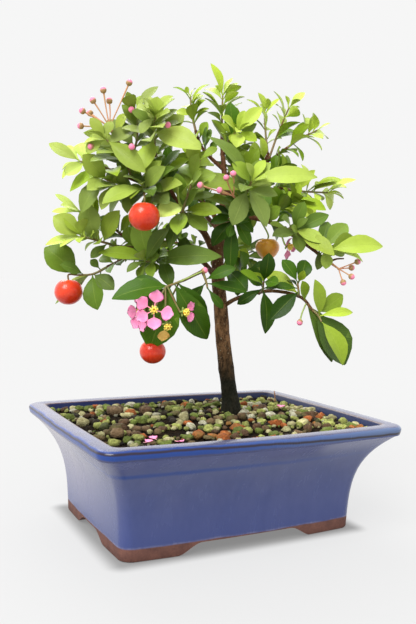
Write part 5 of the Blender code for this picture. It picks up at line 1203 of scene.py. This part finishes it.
def buildTrunk():
    bundle = Bundle()
    points, radii, _, _ = paths["trunk"]
    rows, around = wood["trunkRows"], wood["trunkAround"]
    sweep(bundle, points, radii, rows, around, wood["rough"], 0, 5)
    # the foot widens into roots by a falling power of the height times 0.75 + 0.45 sin(5 turns + 0.7)
    # + 0.2 sin(3 turns), and old pruning knots swell on the left side
    verts = bundle.verts[0]
    centre = np.repeat(smoothPath(points, radii, rows)[0], around, 0)
    out = verts - centre
    size = np.linalg.norm(out, axis=1)[:, None]
    turn = np.tile(np.linspace(0, 2 * np.pi, around, endpoint=False), rows)
    rise = centre[:, 2] - foot.z
    roots = 0.75 + 0.45 * np.sin(5 * turn + 0.7) + 0.2 * np.sin(3 * turn)
    swell = wood["flare"] * np.exp(-np.clip(rise, 0, None) / wood["flareRun"]) * roots
    swell = np.where(rise < wood["flareFrom"], 0, swell)
    verts += out / size * swell[:, None]
    for a, u, t, reach, height in wood["knots"]:
        knot = np.array(place((a, u, t)))
        far = np.linalg.norm(verts - knot, axis=1)
        verts += out / size * (0.5 * reach * mm * np.exp(-(far / (height * mm)) ** 2))[:, None]
    for i, (name, *_) in enumerate(limbPlan):
        points, radii, _, _ = paths[name]
        sweep(bundle, points, radii, wood["limbRows"], wood["limbAround"], wood["limbRough"], 0, 20 + i)
    for path, (points, radii, owner, _) in paths.items():
        if owner == "trunk" and path.endswith("_stub"):
            sweep(bundle, points, [radii[0] * wood["stubSwell"], radii[1]], 5, 10, wood["stubRough"], 0, 3)
        elif owner == "trunk" and path.endswith("_stalk"):
            sweep(bundle, points, radii, stems["stalkRows"], stems["around"], stems["stalkRough"], 1, 3)
    bundle.piece("trunkWood", [barkSkin, calyxSkin], ["trunk"], "bark")
    spurs = Bundle()
    for i, (name, *_) in enumerate(limbPlan):
        # the small leaves of the limbs get a little painted sheen
        addLeaves(spurs, extraBlades.get(name, []), wood["spurPaintedSheen"], 300 + i)
    spurs.piece("spurLeaves", [leafSkin], (), "leaf", leafShape["sharp"])
    print("trunk and limbs built")


# fruits; scar: height and width of the point at the foot
fruit = {"around": 48, "rows": 31, "lobes": 0.03, "dimple": 0.2, "hollow": 0.3, "height": 0.94,
         "scar": (0.03, 0.12), "crownFrom": 0.75}


def buildFruits():
    # a sphere squeezed to 0.94 of its height; the radius gains 0.03 cos(3 angle) for three lobes, and a
    # hollow exp(-(r / 0.3)^2) is drawn down at the top
    low, a = ballAngles(fruit["rows"], fruit["around"])
    low, a = low[:, None], a[None, :]
    flat, z = np.cos(low), np.sin(low)
    lobes = 1 + fruit["lobes"] * np.cos(3 * a) * flat
    dimple = fruit["dimple"] * z.clip(0) * np.exp(-(flat / fruit["hollow"]) ** 2)
    scar = fruit["scar"][0] * (-z).clip(0) * np.exp(-(flat / fruit["scar"][1]) ** 2)
    height = fruit["height"] * z - dimple + scar
    crown = np.broadcast_to(np.clip((z - fruit["crownFrom"]) * 4, 0, 1), lobes.shape).ravel()
    for name, _, _, centre, radius, narrow in fruitPlan:
        wide = lobes * (1 + narrow * z)
        skin = np.stack(np.broadcast_arrays(flat * np.cos(a) * wide, flat * np.sin(a) * wide, height), -1)
        verts = skin.reshape(-1, 3) * radius * mm + np.array(place(centre))
        bundle = Bundle()
        bundle.add(verts, ringFaces(fruit["rows"], fruit["around"]), None, 0, crown=crown)
        slot, surface = ("unripe_fruit", ochreSkin) if narrow else ("ripe_fruit", ripeSkin)
        bundle.piece(name + "_skin", [surface], [name], slot)
    print("fruits built")


# flowers and buds; halfWidth to endFrill: shares in the petal's formulas; stamenEnds: out and ahead, mm
flower = {"petalRows": 15, "petalAround": 16, "claw": 0.40, "clawHalf": 0.32 * mm, "halfWidth": 0.6,
          "cup": 0.22, "arch": 0.10, "frill": 0.05, "endFrill": 0.035, "thickness": 0.22 * mm,
          "spent": {"flower_low": 0.9},
          "calyx": (1.5 * mm, 1.0 * mm), "gland": (0.75 * mm, 1.5 * mm), "glandPlace": (1.7, 0.7),
          "hub": (1.5 * mm, 1.1 * mm), "stamens": 14, "stamenEnds": ((2.1, 1.4), (1.1, 1.9)),
          "filament": 0.2 * mm, "anther": 0.6 * mm}


def addBall(bundle, centre, radii, axis, slot=0, rows=7, around=8, ripeFrom=None):
    # an ellipsoid: centre + axis * r sin b + sides * r cos b
    axis = np.array(tuple(axis), float)
    axis /= np.linalg.norm(axis)
    helper = np.eye(3)[int(np.argmin(np.abs(axis)))]
    side = np.cross(axis, helper)
    side /= np.linalg.norm(side)
    other = np.cross(axis, side)
    b, a = ballAngles(rows, around)
    b, a = b[:, None, None], a[None, :, None]
    verts = (np.array(tuple(centre)) + axis * np.sin(b) * radii[1]
             + (side * np.cos(a) + other * np.sin(a)) * np.cos(b) * radii[0])
    ripe = 0.0
    if ripeFrom is not None:
        ripe = np.broadcast_to(np.clip((np.sin(b[..., 0]) - ripeFrom) * 3, 0, 1), (rows, around)).ravel()
    bundle.add(verts.reshape(-1, 3), ringFaces(rows, around), None, slot, ripe=ripe)


def addPetals(bundle, petals, seed, spent):
    # like a leaf, but a claw that opens into a round, cupped and frilled blade
    dice = np.random.default_rng(seed)
    rows, m = flower["petalRows"], flower["petalAround"]
    base, face, width, long, ahead, side = bladeArrays(petals)
    s = np.linspace(0, 1, rows)[None, :, None]
    top = np.linspace(1, -1, m // 2 + 1)
    x = np.concatenate([top, top[1:-1][::-1]])[None, None, :]
    under = np.concatenate([np.zeros(m // 2 + 1), np.ones(m // 2 - 1)])[None, None, :]
    # a thin claw, then a round blade: half width = sine of pi u to the 0.85, to the 0.55, u from its end
    u = np.clip((s - flower["claw"]) / (1 - flower["claw"]), 0, 0.985)
    outline = np.sin(np.pi * u ** 0.85).clip(0) ** 0.55
    half = np.maximum(flower["halfWidth"] * width * outline, flower["clawHalf"])
    cup = flower["cup"] * half * x ** 2 - flower["arch"] * long * s * (1 - s) * 4 * 0.5
    phase = dice.uniform(0, 6, (len(petals), 1, 1))
    frill = flower["frill"] * long * np.abs(x) ** 3 * np.sin(16 * s + phase) * outline
    phase = dice.uniform(0, 6, (len(petals), 1, 1))
    frill = frill + flower["endFrill"] * long * s ** 6 * np.sin(9 * x + phase)
    rise = cup + frill - under * flower["thickness"]
    reach = s * long * (1 - 0.05 * s ** 4 * (x ** 2 + 0.5 * np.sin(7 * x)))
    addBlades(bundle, base, (ahead, side, face), (reach, x * half, rise), 0.5 + 0.5 * x, s, spent=spent)


def buildFlowers():
    for i, (name, _, _, centre, direction, _, _) in enumerate(flowerPlan):
        face, side, top = flowerAxes(direction)
        hub = place(centre)
        bundle = Bundle()
        addPetals(bundle, blades[name], 40 + i, flower["spent"].get(name, 0.0))
        # the calyx: a small cup of five sepals, each with a pair of oil glands behind
        addBall(bundle, hub - face * 0.3 * mm, flower["calyx"], face, 1)
        away, back = flower["glandPlace"]
        for k in range(5):
            angle = 2 * math.pi * (k + 0.5) / 5
            out = side * math.cos(angle) + top * math.sin(angle)
            addBall(bundle, hub + out * away * mm - face * back * mm, flower["gland"], out + 0.2 * face, 1)
        bundle.piece(name + "_petals", [petalSkin, calyxSkin], [name], "petal")
        stamens = Bundle()
        start = hub + face * 0.9 * mm
        addBall(stamens, start, flower["hub"], face, 0, ripeFrom=0.2)
        for k in range(flower["stamens"]):
            angle = 2 * math.pi * k / flower["stamens"] + 0.2
            away, ahead = flower["stamenEnds"][k % 2]
            out = side * math.cos(angle) + top * math.sin(angle)
            end = start + (out * away + face * ahead) * mm
            bend = start.lerp(end, 0.5) + face * 0.2 * mm
            sweep(stamens, [start, bend, end], [flower["filament"]] * 3, 5, 6, 0, 0, k)
            addBall(stamens, end, (flower["anther"], flower["anther"] * 1.4), face, 0, 5, 7, -0.4)
        stamens.piece(name + "_centre", [stamenSkin], [name + "_stamens"], "stamen")
    print("flowers built:", len(flowerPlan))


# a bud: swelling of its stalk, its bow in mm, the bud's size and width as shares, where its pink begins, and
# its sepals: how far out and back of its middle, and how they lean
umbelBud = {"stalk": (1.0, 0.9, 1.3), "bow": 0.5, "size": 1.0, "width": 0.98, "pinkFrom": 0.05,
            "sepals": (0.62, 0.42, 0.5), "sepal": (0.6 * mm, 1.0 * mm)}
looseBud = {"stalk": (1.2, 1.2, 1.2), "bow": 0.6, "size": 0.95, "width": 1.0, "pinkFrom": -0.2,
            "sepals": (0.6, 0.5, 0.0), "sepal": (0.6 * mm, 1.0 * mm)}


def addBud(bundle, root, end, look, hand, seed):
    # a stalk that bows to one hand, 1 or -1, a round bud and five sepals at its foot
    way = (end - root).normalized()
    radii = [tree["pedicelRadius"] * share for share in look["stalk"]]
    bend = root.lerp(end, 0.5) + acrossOf(way) * look["bow"] * hand * mm
    sweep(bundle, [root, bend, end], radii, 12, 7, 0.05, 1, seed)
    radius = tree["budRadius"] * look["size"]
    addBall(bundle, end, (radius * look["width"], radius), way, 0, 9, 12, look["pinkFrom"])
    out, back, lean = look["sepals"]
    for k in range(5):
        turn = 2 * math.pi * k / 5
        side = acrossOf(way) * math.cos(turn) + way.cross(acrossOf(way)) * math.sin(turn)
        spot = end + side * radius * out - way * radius * back
        addBall(bundle, spot, look["sepal"], way + lean * side, 0, 4, 6)


def buildBuds():
    for name, _, _, parting, buds in umbelPlan:
        bundle = Bundle()
        line, radii, _, _ = paths[name]
        sweep(bundle, line, radii, 6, 8, 0.05, 1, 1)
        root = place(parting)
        addBall(bundle, root, (0.9 * mm, 1.1 * mm), line[-1] - line[0], 1)
        for k, bud in enumerate(buds):
            addBud(bundle, root, place(bud), umbelBud, 1 if k % 2 else -1, k)
        bundle.piece(name + "_bunch", [budSkin, stalkSkin], [name], "bud")
    print("buds built")


# buds that stand alone: stem, share of it, place
looseBuds = (("spray_upper_left", 0.9, (-69, 196, 56)), ("spray_mid_pale", 0.8, (-46, 186, 62)),
             ("spray_left_upper", 0.8, (-93, 172, 60)), ("spray_left_upper", 0.2, (-67, 171, 68)),
             ("spray_flowers", 0.2, (-21, 98, 56)), ("low_right_arm", 0.9, (42, 66, 36)))
# bare ends of twigs: limb, share of it, tip
looseTwigs = (("right_arm", 1.0, (72, 109, 22)), ("left_arm", 0.55, (-50, 101, 24)))
# petals that fell on the soil, mm on the pot's plan, and their turns; the red sprout's place
fallen = ((-72, -63, 20), (-62, -58, 100), (64, 8, 50), (-54, -65, 300))
sprout = (86, 50, 66)


def buildLooseBuds():
    bundle = Bundle()
    for k, (host, share, tip) in enumerate(looseBuds):
        addBud(bundle, along(paths[host][0], share)[0], place(tip), looseBud, 1, k)
    bundle.piece("looseBuds", [budSkin, calyxSkin], (), "bud")
    twigs = Bundle()
    for k, (host, share, tip) in enumerate(looseTwigs):
        root, _ = along(paths[host][0], share)
        end = place(tip)
        bend = root.lerp(end, 0.5) + up * 0.8 * mm
        sweep(twigs, [root, bend, end], [0.7 * mm, 0.6 * mm, 0.45 * mm], 10, 8, 0.1, 0, k)
    twigs.piece("twigEnds", [barkSkin], (), "bark")


def buildFallen():
    # petals lying on the stones, and a red seedling in the far corner
    dropped = []
    for x, y, turn in fallen:
        angle = math.radians(turn)
        base = Vector((x * mm, y * mm, soil["level"] + 1.3 * mm))
        tip = base + Vector((math.cos(angle), math.sin(angle), 0.1)) * 6 * mm
        dropped.append((base, tip, up, 5 * mm, 0))
    bundle = Bundle()
    addPetals(bundle, dropped, 77, 0.0)
    bundle.piece("fallenPetals", [petalSkin], (), "petal")
    seedling = Bundle()
    base = Vector(sprout) * mm
    points = [base, base + Vector((0.5, 0, 4)) * mm, base + Vector((-0.5, 0, 9)) * mm]
    sweep(seedling, points, [0.4 * mm] * 3, 10, 7, 0, 0, 1)
    seedling.piece("redSprout", [stalkSkin], (), "bud")
    print("loose buds, twig ends and fallen petals built")


# pot; in mm: height and inset of the rings of wall and lip, lengths of the feet, the run of their bracket
# curves and how much lower the short side's opening is
pot = {"rimLength": 0.205, "rimWidth": 0.163, "baseLength": 0.160, "baseWidth": 0.111, "wallTop": 0.066,
       "wall": 0.0075, "ledge": 0.011, "floor": 0.012, "footHeight": 0.007, "longBow": 0.055,
       "shortBow": 0.012, "rimCorner": 0.009, "baseCorner": 0.007, "drainRadius": 0.006,
       "drainPlace": 0.028, "drainSteps": 32, "bracket": 0.014, "cornerSteps": 9, "sideSteps": 26,
       "sharp": 35, "longFoot": 32, "shortFoot": 28, "footRun": 17, "shortLower": 0.4,
       "wallRings": ((0, 1.0), (0.35, 0.35), (1.1, 0.0), (6, 0), (12, 0), (18, 0), (24, 0), (30, 0), (35, 0),
                     (40, 0), (44, 0), (48, 0), (51.5, 0), (54.5, 0), (57, 0), (59.2, 0), (61, 0), (62.6, 0),
                     (63.7, 0.05), (64.5, 0.2)),
       "lipRings": ((65.1, 0.75), (65.7, 0.55), (66.5, 0.35), (67.4, 0.15), (68.4, 0), (69.3, 0.1),
                    (70.1, 0.5), (70.7, 1.2), (71.0, 2.4), (71.1, 5), (71.0, 7.8), (70.9, 9.4),
                    (70.6, 10.2), (70.0, 10.8), (69.4, 11.1)),
       "throatRings": ((68.4, 0.8), (66.6, 1.6)), "innerRings": (60, 54, 45, 30)}


def potRing(length, width, corner, z):
    # a rectangle with round corners whose sides bow out by a share 1 - (2 x / length)^2
    turn = np.linspace(0, np.pi / 2, pot["cornerSteps"])
    flat = []
    for quarter, (toRight, toBack) in enumerate(((1, 1), (-1, 1), (-1, -1), (1, -1))):
        a = turn + quarter * np.pi / 2
        flat.append(np.stack([toRight * (length / 2 - corner) + corner * np.cos(a),
                              toBack * (width / 2 - corner) + corner * np.sin(a)], -1))
    loops = []
    share = np.linspace(0, 1, pot["sideSteps"])[1:-1, None]
    for i in range(4):
        loops += [flat[i], flat[i][-1] * (1 - share) + flat[(i + 1) % 4][0] * share]
    p = np.concatenate(loops)
    x = p[:, 0] * (1 + pot["shortBow"] * (1 - (2 * p[:, 1] / width) ** 2))
    y = p[:, 1] * (1 + pot["longBow"] * (1 - (2 * p[:, 0] / length) ** 2))
    return np.stack([x, y, np.full(len(p), z)], -1)


def wallRing(z, inset=0.0):
    # the wall opens by 0.12 u + 0.88 u^3.8, where u is the height as a share of the wall's top
    u = min(z / pot["wallTop"], 1)
    openBy = 0.12 * u + 0.88 * u ** 3.8
    length = pot["baseLength"] + (pot["rimLength"] - pot["baseLength"]) * openBy - 2 * inset
    width = pot["baseWidth"] + (pot["rimWidth"] - pot["baseWidth"]) * openBy - 2 * inset
    corner = max(pot["baseCorner"] + (pot["rimCorner"] - pot["baseCorner"]) * openBy - 0.4 * inset, 2 * mm)
    return potRing(length, width, corner, z)


def lipRing(z, inset):
    corner = max(pot["rimCorner"] - 0.4 * inset, 2 * mm)
    return potRing(pot["rimLength"] - 2 * inset, pot["rimWidth"] - 2 * inset, corner, z)


def cutWith(piece, verts, faces):
    # takes a closed shape out of a piece at once
    mesh = bpy.data.meshes.new("cutter")
    mesh.from_pydata((np.asarray(verts, float) + middle).tolist(), [], faces)
    cutter = newObject("cutter", mesh)
    step = piece.modifiers.new("cut", "BOOLEAN")
    step.operation, step.object, step.solver = "DIFFERENCE", cutter, "EXACT"
    cut = bpy.data.meshes.new_from_object(piece.evaluated_get(bpy.context.evaluated_depsgraph_get()))
    piece.modifiers.clear()
    piece.data = cut
    bpy.data.objects.remove(cutter, do_unlink=True)


def prism(outline, low, high, axis):
    # an outline (u, z) drawn from low to high along x or y
    n = len(outline)
    u, z = np.array(outline).T
    order = [0, 1, 2] if axis == "y" else [1, 0, 2]
    verts = np.concatenate([np.stack([u, np.full(n, far), z], -1)[:, order] for far in (low, high)])
    sides = [[i, (i + 1) % n, n + (i + 1) % n, n + i] for i in range(n)]
    faces = [list(range(n))[::-1], list(range(n, 2 * n)), *sides]
    if axis == "y":
        faces = [face[::-1] for face in faces]
    return verts, faces


def archOutline(bottomHalf, topHalf, rise):
    t = np.linspace(0, 1, 12)
    right = np.stack([bottomHalf + (topHalf - bottomHalf) * t, rise * t * t * (3 - 2 * t)], -1)
    left = right[::-1] * [-1, 1]
    return [(-bottomHalf, -0.002), (bottomHalf, -0.002), *map(tuple, right), *map(tuple, left)]


def buildPot():
    wall = [wallRing(z * mm, inset * mm) for z, inset in pot["wallRings"]]
    lip = [lipRing(z * mm, inset * mm) for z, inset in pot["lipRings"]]
    inner = [lipRing(z * mm, pot["ledge"] + inset * mm) for z, inset in pot["throatRings"]]
    inner += [wallRing(z * mm, pot["wall"]) for z in pot["innerRings"]]
    inner += [wallRing(pot["floor"], pot["wall"])]
    rings = np.stack(wall + lip + inner)
    rows, around = rings.shape[:2]
    inside, edge = np.zeros(rows), np.zeros(rows)
    last = len(wall) + 12
    inside[last:] = 1
    inside[last] = 0.6
    edge[last - 1:last + 1] = 0.6, 1.0
    # how far each point of the ring is on the short left side, where a sheen is painted
    x, y = rings[10, :, 0] / rings[10, :, 0].max(), rings[10, :, 1] / rings[10, :, 1].max()
    west = np.clip((-x - 0.93) / 0.06, 0, 1) * np.clip(0.75 + 0.75 * y, 0.12, 1)
    marks = {"inside": np.repeat(inside, around), "edge": np.repeat(edge, around),
             "west": np.tile(west, rows)}
    piece = meshPiece("glazedPot", rings.reshape(-1, 3), ringFaces(rows, around), [glazeSkin], ["pot"],
                      None, marks)
    # an arch under each side, then the hollow between the four feet and the two drainage holes
    reach, run = pot["baseLength"], pot["footRun"] * mm
    for side, footLength, lower, axis in (("baseLength", pot["longFoot"], 0, "y"),
                                          ("baseWidth", pot["shortFoot"], pot["shortLower"], "x")):
        half = pot[side] / 2 - footLength * mm
        arch = archOutline(half, half - run, pot["footHeight"] - lower * mm)
        cutWith(piece, *prism(arch, -reach, reach, axis))
    halfX, halfY = pot["baseLength"] / 2 - pot["bracket"], pot["baseWidth"] / 2 - pot["bracket"]
    high = pot["footHeight"] + 0.6 * mm
    box = [(-halfX, -0.002), (halfX, -0.002), (halfX, high), (-halfX, high)]
    cutWith(piece, *prism(box, -halfY, halfY, "y"))
    steps, radius = pot["drainSteps"], pot["drainRadius"]
    a = np.linspace(0, 2 * np.pi, steps, endpoint=False)
    for side in (-1, 1):
        x = side * pot["drainPlace"] + radius * np.cos(a)
        ring = np.stack([x, radius * np.sin(a), np.zeros(steps)], -1)
        cutWith(piece, np.concatenate([ring + [0, 0, 2 * mm], ring + [0, 0, 18 * mm]]), ringFaces(2, steps))
    piece.data.shade_smooth()
    piece.data.set_sharp_from_angle(angle=math.radians(pot["sharp"]))
    print("pot built")


# soil and stones; swell, grit: waves and seeded jitter of its top; under: depth of the block below the stones
soil = {"level": 0.069, "crown": 2.4 * mm, "halfX": 90.5 * mm, "halfY": 70.0 * mm, "bowY": 0.055,
        "columns": 150, "rows": 116, "bottom": 0.0135, "waist": 0.055, "seed": 4, "bareLeft": 0.35,
        "bareRight": -0.5, "spacing": 0.82, "brown": 6, "grain": 1.7 * mm, "grainTone": 0.7, "leftTone": 0.66,
        "swell": 0.22, "grit": 0.35, "under": 0.6, "trunkRoom": 7, "patches": 9, "patchWave": (220, 520),
        "waistShare": (0.93, 0.86, 0), "footShare": (0.80, 0.68, 0)}
# stones: count, smallest and largest radius in mm, share sunk
stoneSizes = ((22, 3.8, 5.4, 0.4), (230, 2.5, 3.6, 0.3), (480, 1.5, 2.5, 0.25), (500, 0.9, 1.5, 0.2))
# two flat brown stones: place and radius in mm
bigStones = ((-54, 33, 6.6), (-76, -32, 5.0))
# colour, share at the left end, share at the right end
stoneColours = (
    ((0.62, 0.58, 0.30), 0.09, 0.30), ((0.46, 0.50, 0.14), 0.20, 0.16), ((0.20, 0.26, 0.05), 0.24, 0.10),
    ((0.76, 0.74, 0.56), 0.05, 0.12), ((0.15, 0.085, 0.045), 0.16, 0.10), ((0.50, 0.15, 0.04), 0.09, 0.09),
    ((0.26, 0.17, 0.09), 0.08, 0.06), ((0.035, 0.025, 0.015), 0.11, 0.07))


def soilEdge(x):
    return soil["halfY"] * (1 + soil["bowY"] * (1 - np.clip(np.abs(x) / soil["halfX"], 0, 1) ** 2))


def buildSoil():
    # a block whose top is a sum of seven waves and seeded jitter on a low crown
    dice = np.random.default_rng(soil["seed"])
    rows, columns = soil["rows"], soil["columns"]
    share = np.linspace(-1, 1, rows)[:, None]
    x = np.broadcast_to(np.linspace(-1, 1, columns)[None, :] * soil["halfX"], (rows, columns))
    y = share * soilEdge(x)
    z = soil["level"] - soil["crown"] * np.clip((x / soil["halfX"]) ** 2 + share ** 2, 0, 1)
    for k in range(7):
        u, v, w = dice.uniform(-1, 1), dice.uniform(-1, 1), dice.uniform(0, 6.28)
        z = z + soil["swell"] * mm * np.sin((u * x + v * y) / mm * (0.12 + 0.09 * k) + w)
    z = z + dice.uniform(-soil["grit"], soil["grit"], z.shape) * mm - soil["under"] * mm
    shift = dice.uniform(-0.2, 0.2, x.shape) * mm * (np.abs(x) < soil["halfX"] - mm)
    top = np.stack([x + shift, y, z], -1).reshape(-1, 3)
    i, j = np.meshgrid(np.arange(rows - 1), np.arange(columns - 1), indexing="ij")
    a = (i * columns + j).ravel()
    quads = np.stack([a, a + 1, a + columns + 1, a + columns], -1).tolist()
    # the skirt: the border of the grid drawn down to the floor of the pot
    border = np.concatenate([np.arange(columns), np.arange(1, rows) * columns + columns - 1,
                             (rows - 1) * columns + np.arange(columns - 2, -1, -1),
                             np.arange(rows - 2, 0, -1) * columns])
    n = len(border)
    mid = top[border] * soil["waistShare"] + [0, 0, soil["waist"]]
    low = top[border] * soil["footShare"] + [0, 0, soil["bottom"]]
    first = rows * columns
    k = np.arange(n)
    after = (k + 1) % n
    skirt = np.stack([border[after], border[k], first + k, first + after], -1).tolist()
    skirt += np.stack([first + after, first + k, first + n + k, first + n + after], -1).tolist()
    bottom = [(first + n + np.arange(n))[::-1].tolist()]
    meshPiece("soilBlock", np.concatenate([top, mid, low]), quads + skirt + bottom, [soilSkin], ["soil"])
    print("soil built")


def scatterStones(dice):
    # places and radii of stones in bare and covered patches, large stones first, none into another
    waves = dice.uniform((-1, -1, 0), (1, 1, 6.28), (soil["patches"], 3))
    pitch = dice.uniform(*soil["patchWave"], (soil["patches"], 1))
    waves[:, :2] *= pitch / np.linalg.norm(waves[:, :2], axis=1)[:, None]
    kept = np.array([(x * mm, y * mm, soil["level"] + 0.1 * r * mm, r * mm) for x, y, r in bigStones])
    for count, small, large, sink in stoneSizes:
        x = dice.uniform(-1, 1, count * 4) * (soil["halfX"] - large * mm)
        y = dice.uniform(-1, 1, count * 4) * (soilEdge(x) - large * mm)
        r = dice.uniform(small, large, count * 4) * mm
        cover = np.sin(waves[:, 0] * x[:, None] + waves[:, 1] * y[:, None] + waves[:, 2]).sum(1)
        side = 0.5 + 0.5 * x / soil["halfX"]
        wanted = cover > soil["bareLeft"] * (1 - side) + soil["bareRight"] * side
        wanted &= np.hypot(x - foot.x, y - foot.y) > soil["trunkRoom"] * mm + r
        far = np.clip((x / soil["halfX"]) ** 2 + (y / soil["halfY"]) ** 2, 0, 1)
        z = soil["level"] - soil["crown"] * far + r * (0.55 - sink) * 0.8
        rows = np.stack([x, y, z, r], -1)[wanted]
        left = count
        for row in rows:
            apart = np.hypot(*(kept[:, :2] - row[:2]).T)
            if left and np.all(apart > soil["spacing"] * (kept[:, 3] + row[3])):
                kept = np.concatenate([kept, row[None]])
                left -= 1
    return kept[:, :3], kept[:, 3]


def buildStones():
    # each stone: a ball of five rings of eight points, its radius waved by the angles, squashed and turned
    dice = np.random.default_rng(soil["seed"] + 1)
    centre, r = scatterStones(dice)
    n = len(r)
    rows, around = 5, 8
    b, a = ballAngles(rows, around)
    b, a = b[None, :, None], a[None, None, :]
    start = dice.uniform(0, 6.28, (3, n, 1, 1))
    lump = 1 + 0.15 * np.sin(2 * a + start[0]) * np.cos(b) + 0.12 * np.sin(3 * a + start[1] + 2 * b)
    lump = lump + 0.09 * np.sin(4 * b + start[2])
    ball = np.stack(np.broadcast_arrays(np.cos(b) * np.cos(a) * lump, np.cos(b) * np.sin(a) * lump,
                                        np.sin(b) * lump), -1)
    squash = np.stack([dice.uniform(*ends, n) for ends in ((0.9, 1.35), (0.75, 1.0), (0.55, 0.85))], -1)
    ball = ball * squash[:, None, None, :]
    turn, tilt = dice.uniform(0, 6.28, n), dice.uniform(-0.5, 0.5, n)
    turnX, turnY, flatTilt, upTilt = np.cos(turn), np.sin(turn), np.cos(tilt), np.sin(tilt)
    spin = np.stack([np.stack([turnX, -turnY * flatTilt, turnY * upTilt], -1),
                     np.stack([turnY, turnX * flatTilt, -turnX * upTilt], -1),
                     np.stack([0 * turnX, upTilt, flatTilt], -1)], 1)
    ball = np.einsum("nij,nrcj->nrci", spin, ball) * r[:, None, None, None] + centre[:, None, None, :]
    # the colour is drawn from shares that change from the left end to the right end
    palette = np.array([c for c, _, _ in stoneColours])
    ends = np.array([(p, q) for _, p, q in stoneColours])
    ends = ends / ends.sum(0)
    side = (0.5 + 0.5 * centre[:, 0] / soil["halfX"])[:, None]
    limits = np.cumsum(ends[:, 0] * (1 - side) + ends[:, 1] * side, axis=1)
    pick = np.minimum((dice.random((n, 1)) > limits).sum(1), len(palette) - 1)
    pick[:len(bigStones)] = soil["brown"]
    tint = palette[pick] * dice.uniform(0.75, 1.15, (n, 1)) * (soil["leftTone"] * (1 - side) + side)
    tint = tint * np.where(r < soil["grain"], soil["grainTone"], 1.0)[:, None]
    tint = np.repeat(tint, rows * around, 0)
    bundle = Bundle()
    bundle.add(ball.reshape(-1, 3), stackFaces(n, rows, around), None, 0, stone=tint)
    bundle.piece("soilStones", [stoneSkin], (), "pumice_soil")
    print("stones built:", n)


def dressNodes():
    for name in ("screen_left", "screen_right"):
        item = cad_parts[name]
        item.data.materials.clear()
        item.data.materials.append(screenSkin)
    print("screens dressed")


# studio
def buildFloor():
    # a wide disc of paper, whose own glow keeps it as pale as the background
    a = np.linspace(0, 2 * np.pi, 64, endpoint=False)
    verts = np.concatenate([np.zeros((1, 3)), np.stack([30 * np.cos(a), 30 * np.sin(a), 0 * a], -1)])
    faces = [[0, 1 + i, 1 + (i + 1) % 64] for i in range(64)]
    mesh = bpy.data.meshes.new("floor")
    mesh.from_pydata(verts - [0, 0, 0.0002], [], faces)
    floor = newObject("floor", mesh)
    skin = Skin("floorPaper", 1.0, Specular_IOR_Level=0.0)
    tone = light["floorTone"]
    tint = skin.blend(skin.mottled(skin.spot, 6.0, 30.0), (tone, tone, tone), (tone, tone, 0.99 * tone))
    lit = 0.5 * (light["skyFront"] + light["skyBack"])
    for _, power, source in light["suns"]:
        lit += power * Vector(source).normalized().z / math.pi
    # painted shadow: the glow fades under the pot, by the distance outside the rectangle of its feet
    off = skin.spot
    half = (pot["baseLength"] / 2, pot["baseWidth"] / 2, 1)
    for operation, value in (("SUBTRACT", tuple(middle)), ("ABSOLUTE", (0, 0, 0)), ("SUBTRACT", half),
                             ("MAXIMUM", (0, 0, 0))):
        off = skin.add("VectorMath", {"operation": operation}, i0=off, i1=value).outputs[0]
    far = skin.add("VectorMath", {"operation": "LENGTH"}, i0=off).outputs["Value"]
    glow = skin.span(far, 0, light["paintedShadowRun"], light["paintedShadowGlow"], 1, "SMOOTHSTEP")
    skin.shader.inputs["Emission Strength"].default_value = max(light["seen"] - tone * lit, 0)
    mesh.materials.append(skin.finish(Base_Color=tint, Emission_Color=skin.blend(glow, (0, 0, 0), (1, 1, 1))))


def buildLights():
    world = bpy.data.worlds.new("studio")
    bpy.context.scene.world = world
    world.use_nodes = True
    wiring = Wiring(world.node_tree)
    # the camera sees the paper's tone, and the tree is lit by a sky that is brighter behind it
    ray = wiring.add("LightPath").outputs["Is Camera Ray"]
    way = wiring.add("TexCoord").outputs["Generated"]
    behind = (math.sin(camera["yaw"]), math.cos(camera["yaw"]), 0)
    share = wiring.add("VectorMath", {"operation": "DOT_PRODUCT"}, i0=way, i1=behind).outputs["Value"]
    sky = wiring.span(share, -1, 1, light["skyFront"], light["skyBack"])
    glow = wiring.nodes["Background"].inputs
    wiring.put(glow["Strength"], wiring.span(ray, 0, 1, sky, light["seen"]))
    wiring.put(glow["Color"], (1, 1, 1))
    for name, strength, source in light["suns"]:
        sun = bpy.data.lights.new(name, "SUN")
        sun.energy = strength
        sun.angle = math.radians(light["spread"])
        newObject(name, sun).rotation_euler = Vector(source).to_track_quat("Z", "Y").to_euler()


def buildCamera():
    yaw, pitch, roll = camera["yaw"], camera["pitch"], camera["roll"]
    ahead = Vector((math.sin(yaw) * math.cos(pitch), math.cos(yaw) * math.cos(pitch), -math.sin(pitch)))
    level = Vector((math.cos(yaw), -math.sin(yaw), 0))
    right = level * math.cos(roll) + level.cross(ahead) * math.sin(roll)
    lens = bpy.data.cameras.new("camera")
    lens.lens = camera["focalPixels"] * lens.sensor_width / camera["imageHeight"]
    eye = newObject("camera", lens)
    turn = Matrix((right, right.cross(ahead), -ahead)).transposed().to_4x4()
    turn.translation = Vector(camera["place"]) * mm + Vector(middle)
    eye.matrix_world = turn
    bpy.context.scene.camera = eye
    bpy.context.scene.view_settings.view_transform = "Standard"
    print("floor, lights and camera set")


for build in (buildPot, buildSoil, buildStones, buildTrunk, buildSprays, buildFruits, buildFlowers, buildBuds,
              buildLooseBuds, buildFallen, dressNodes, buildFloor, buildLights, buildCamera):
    build()
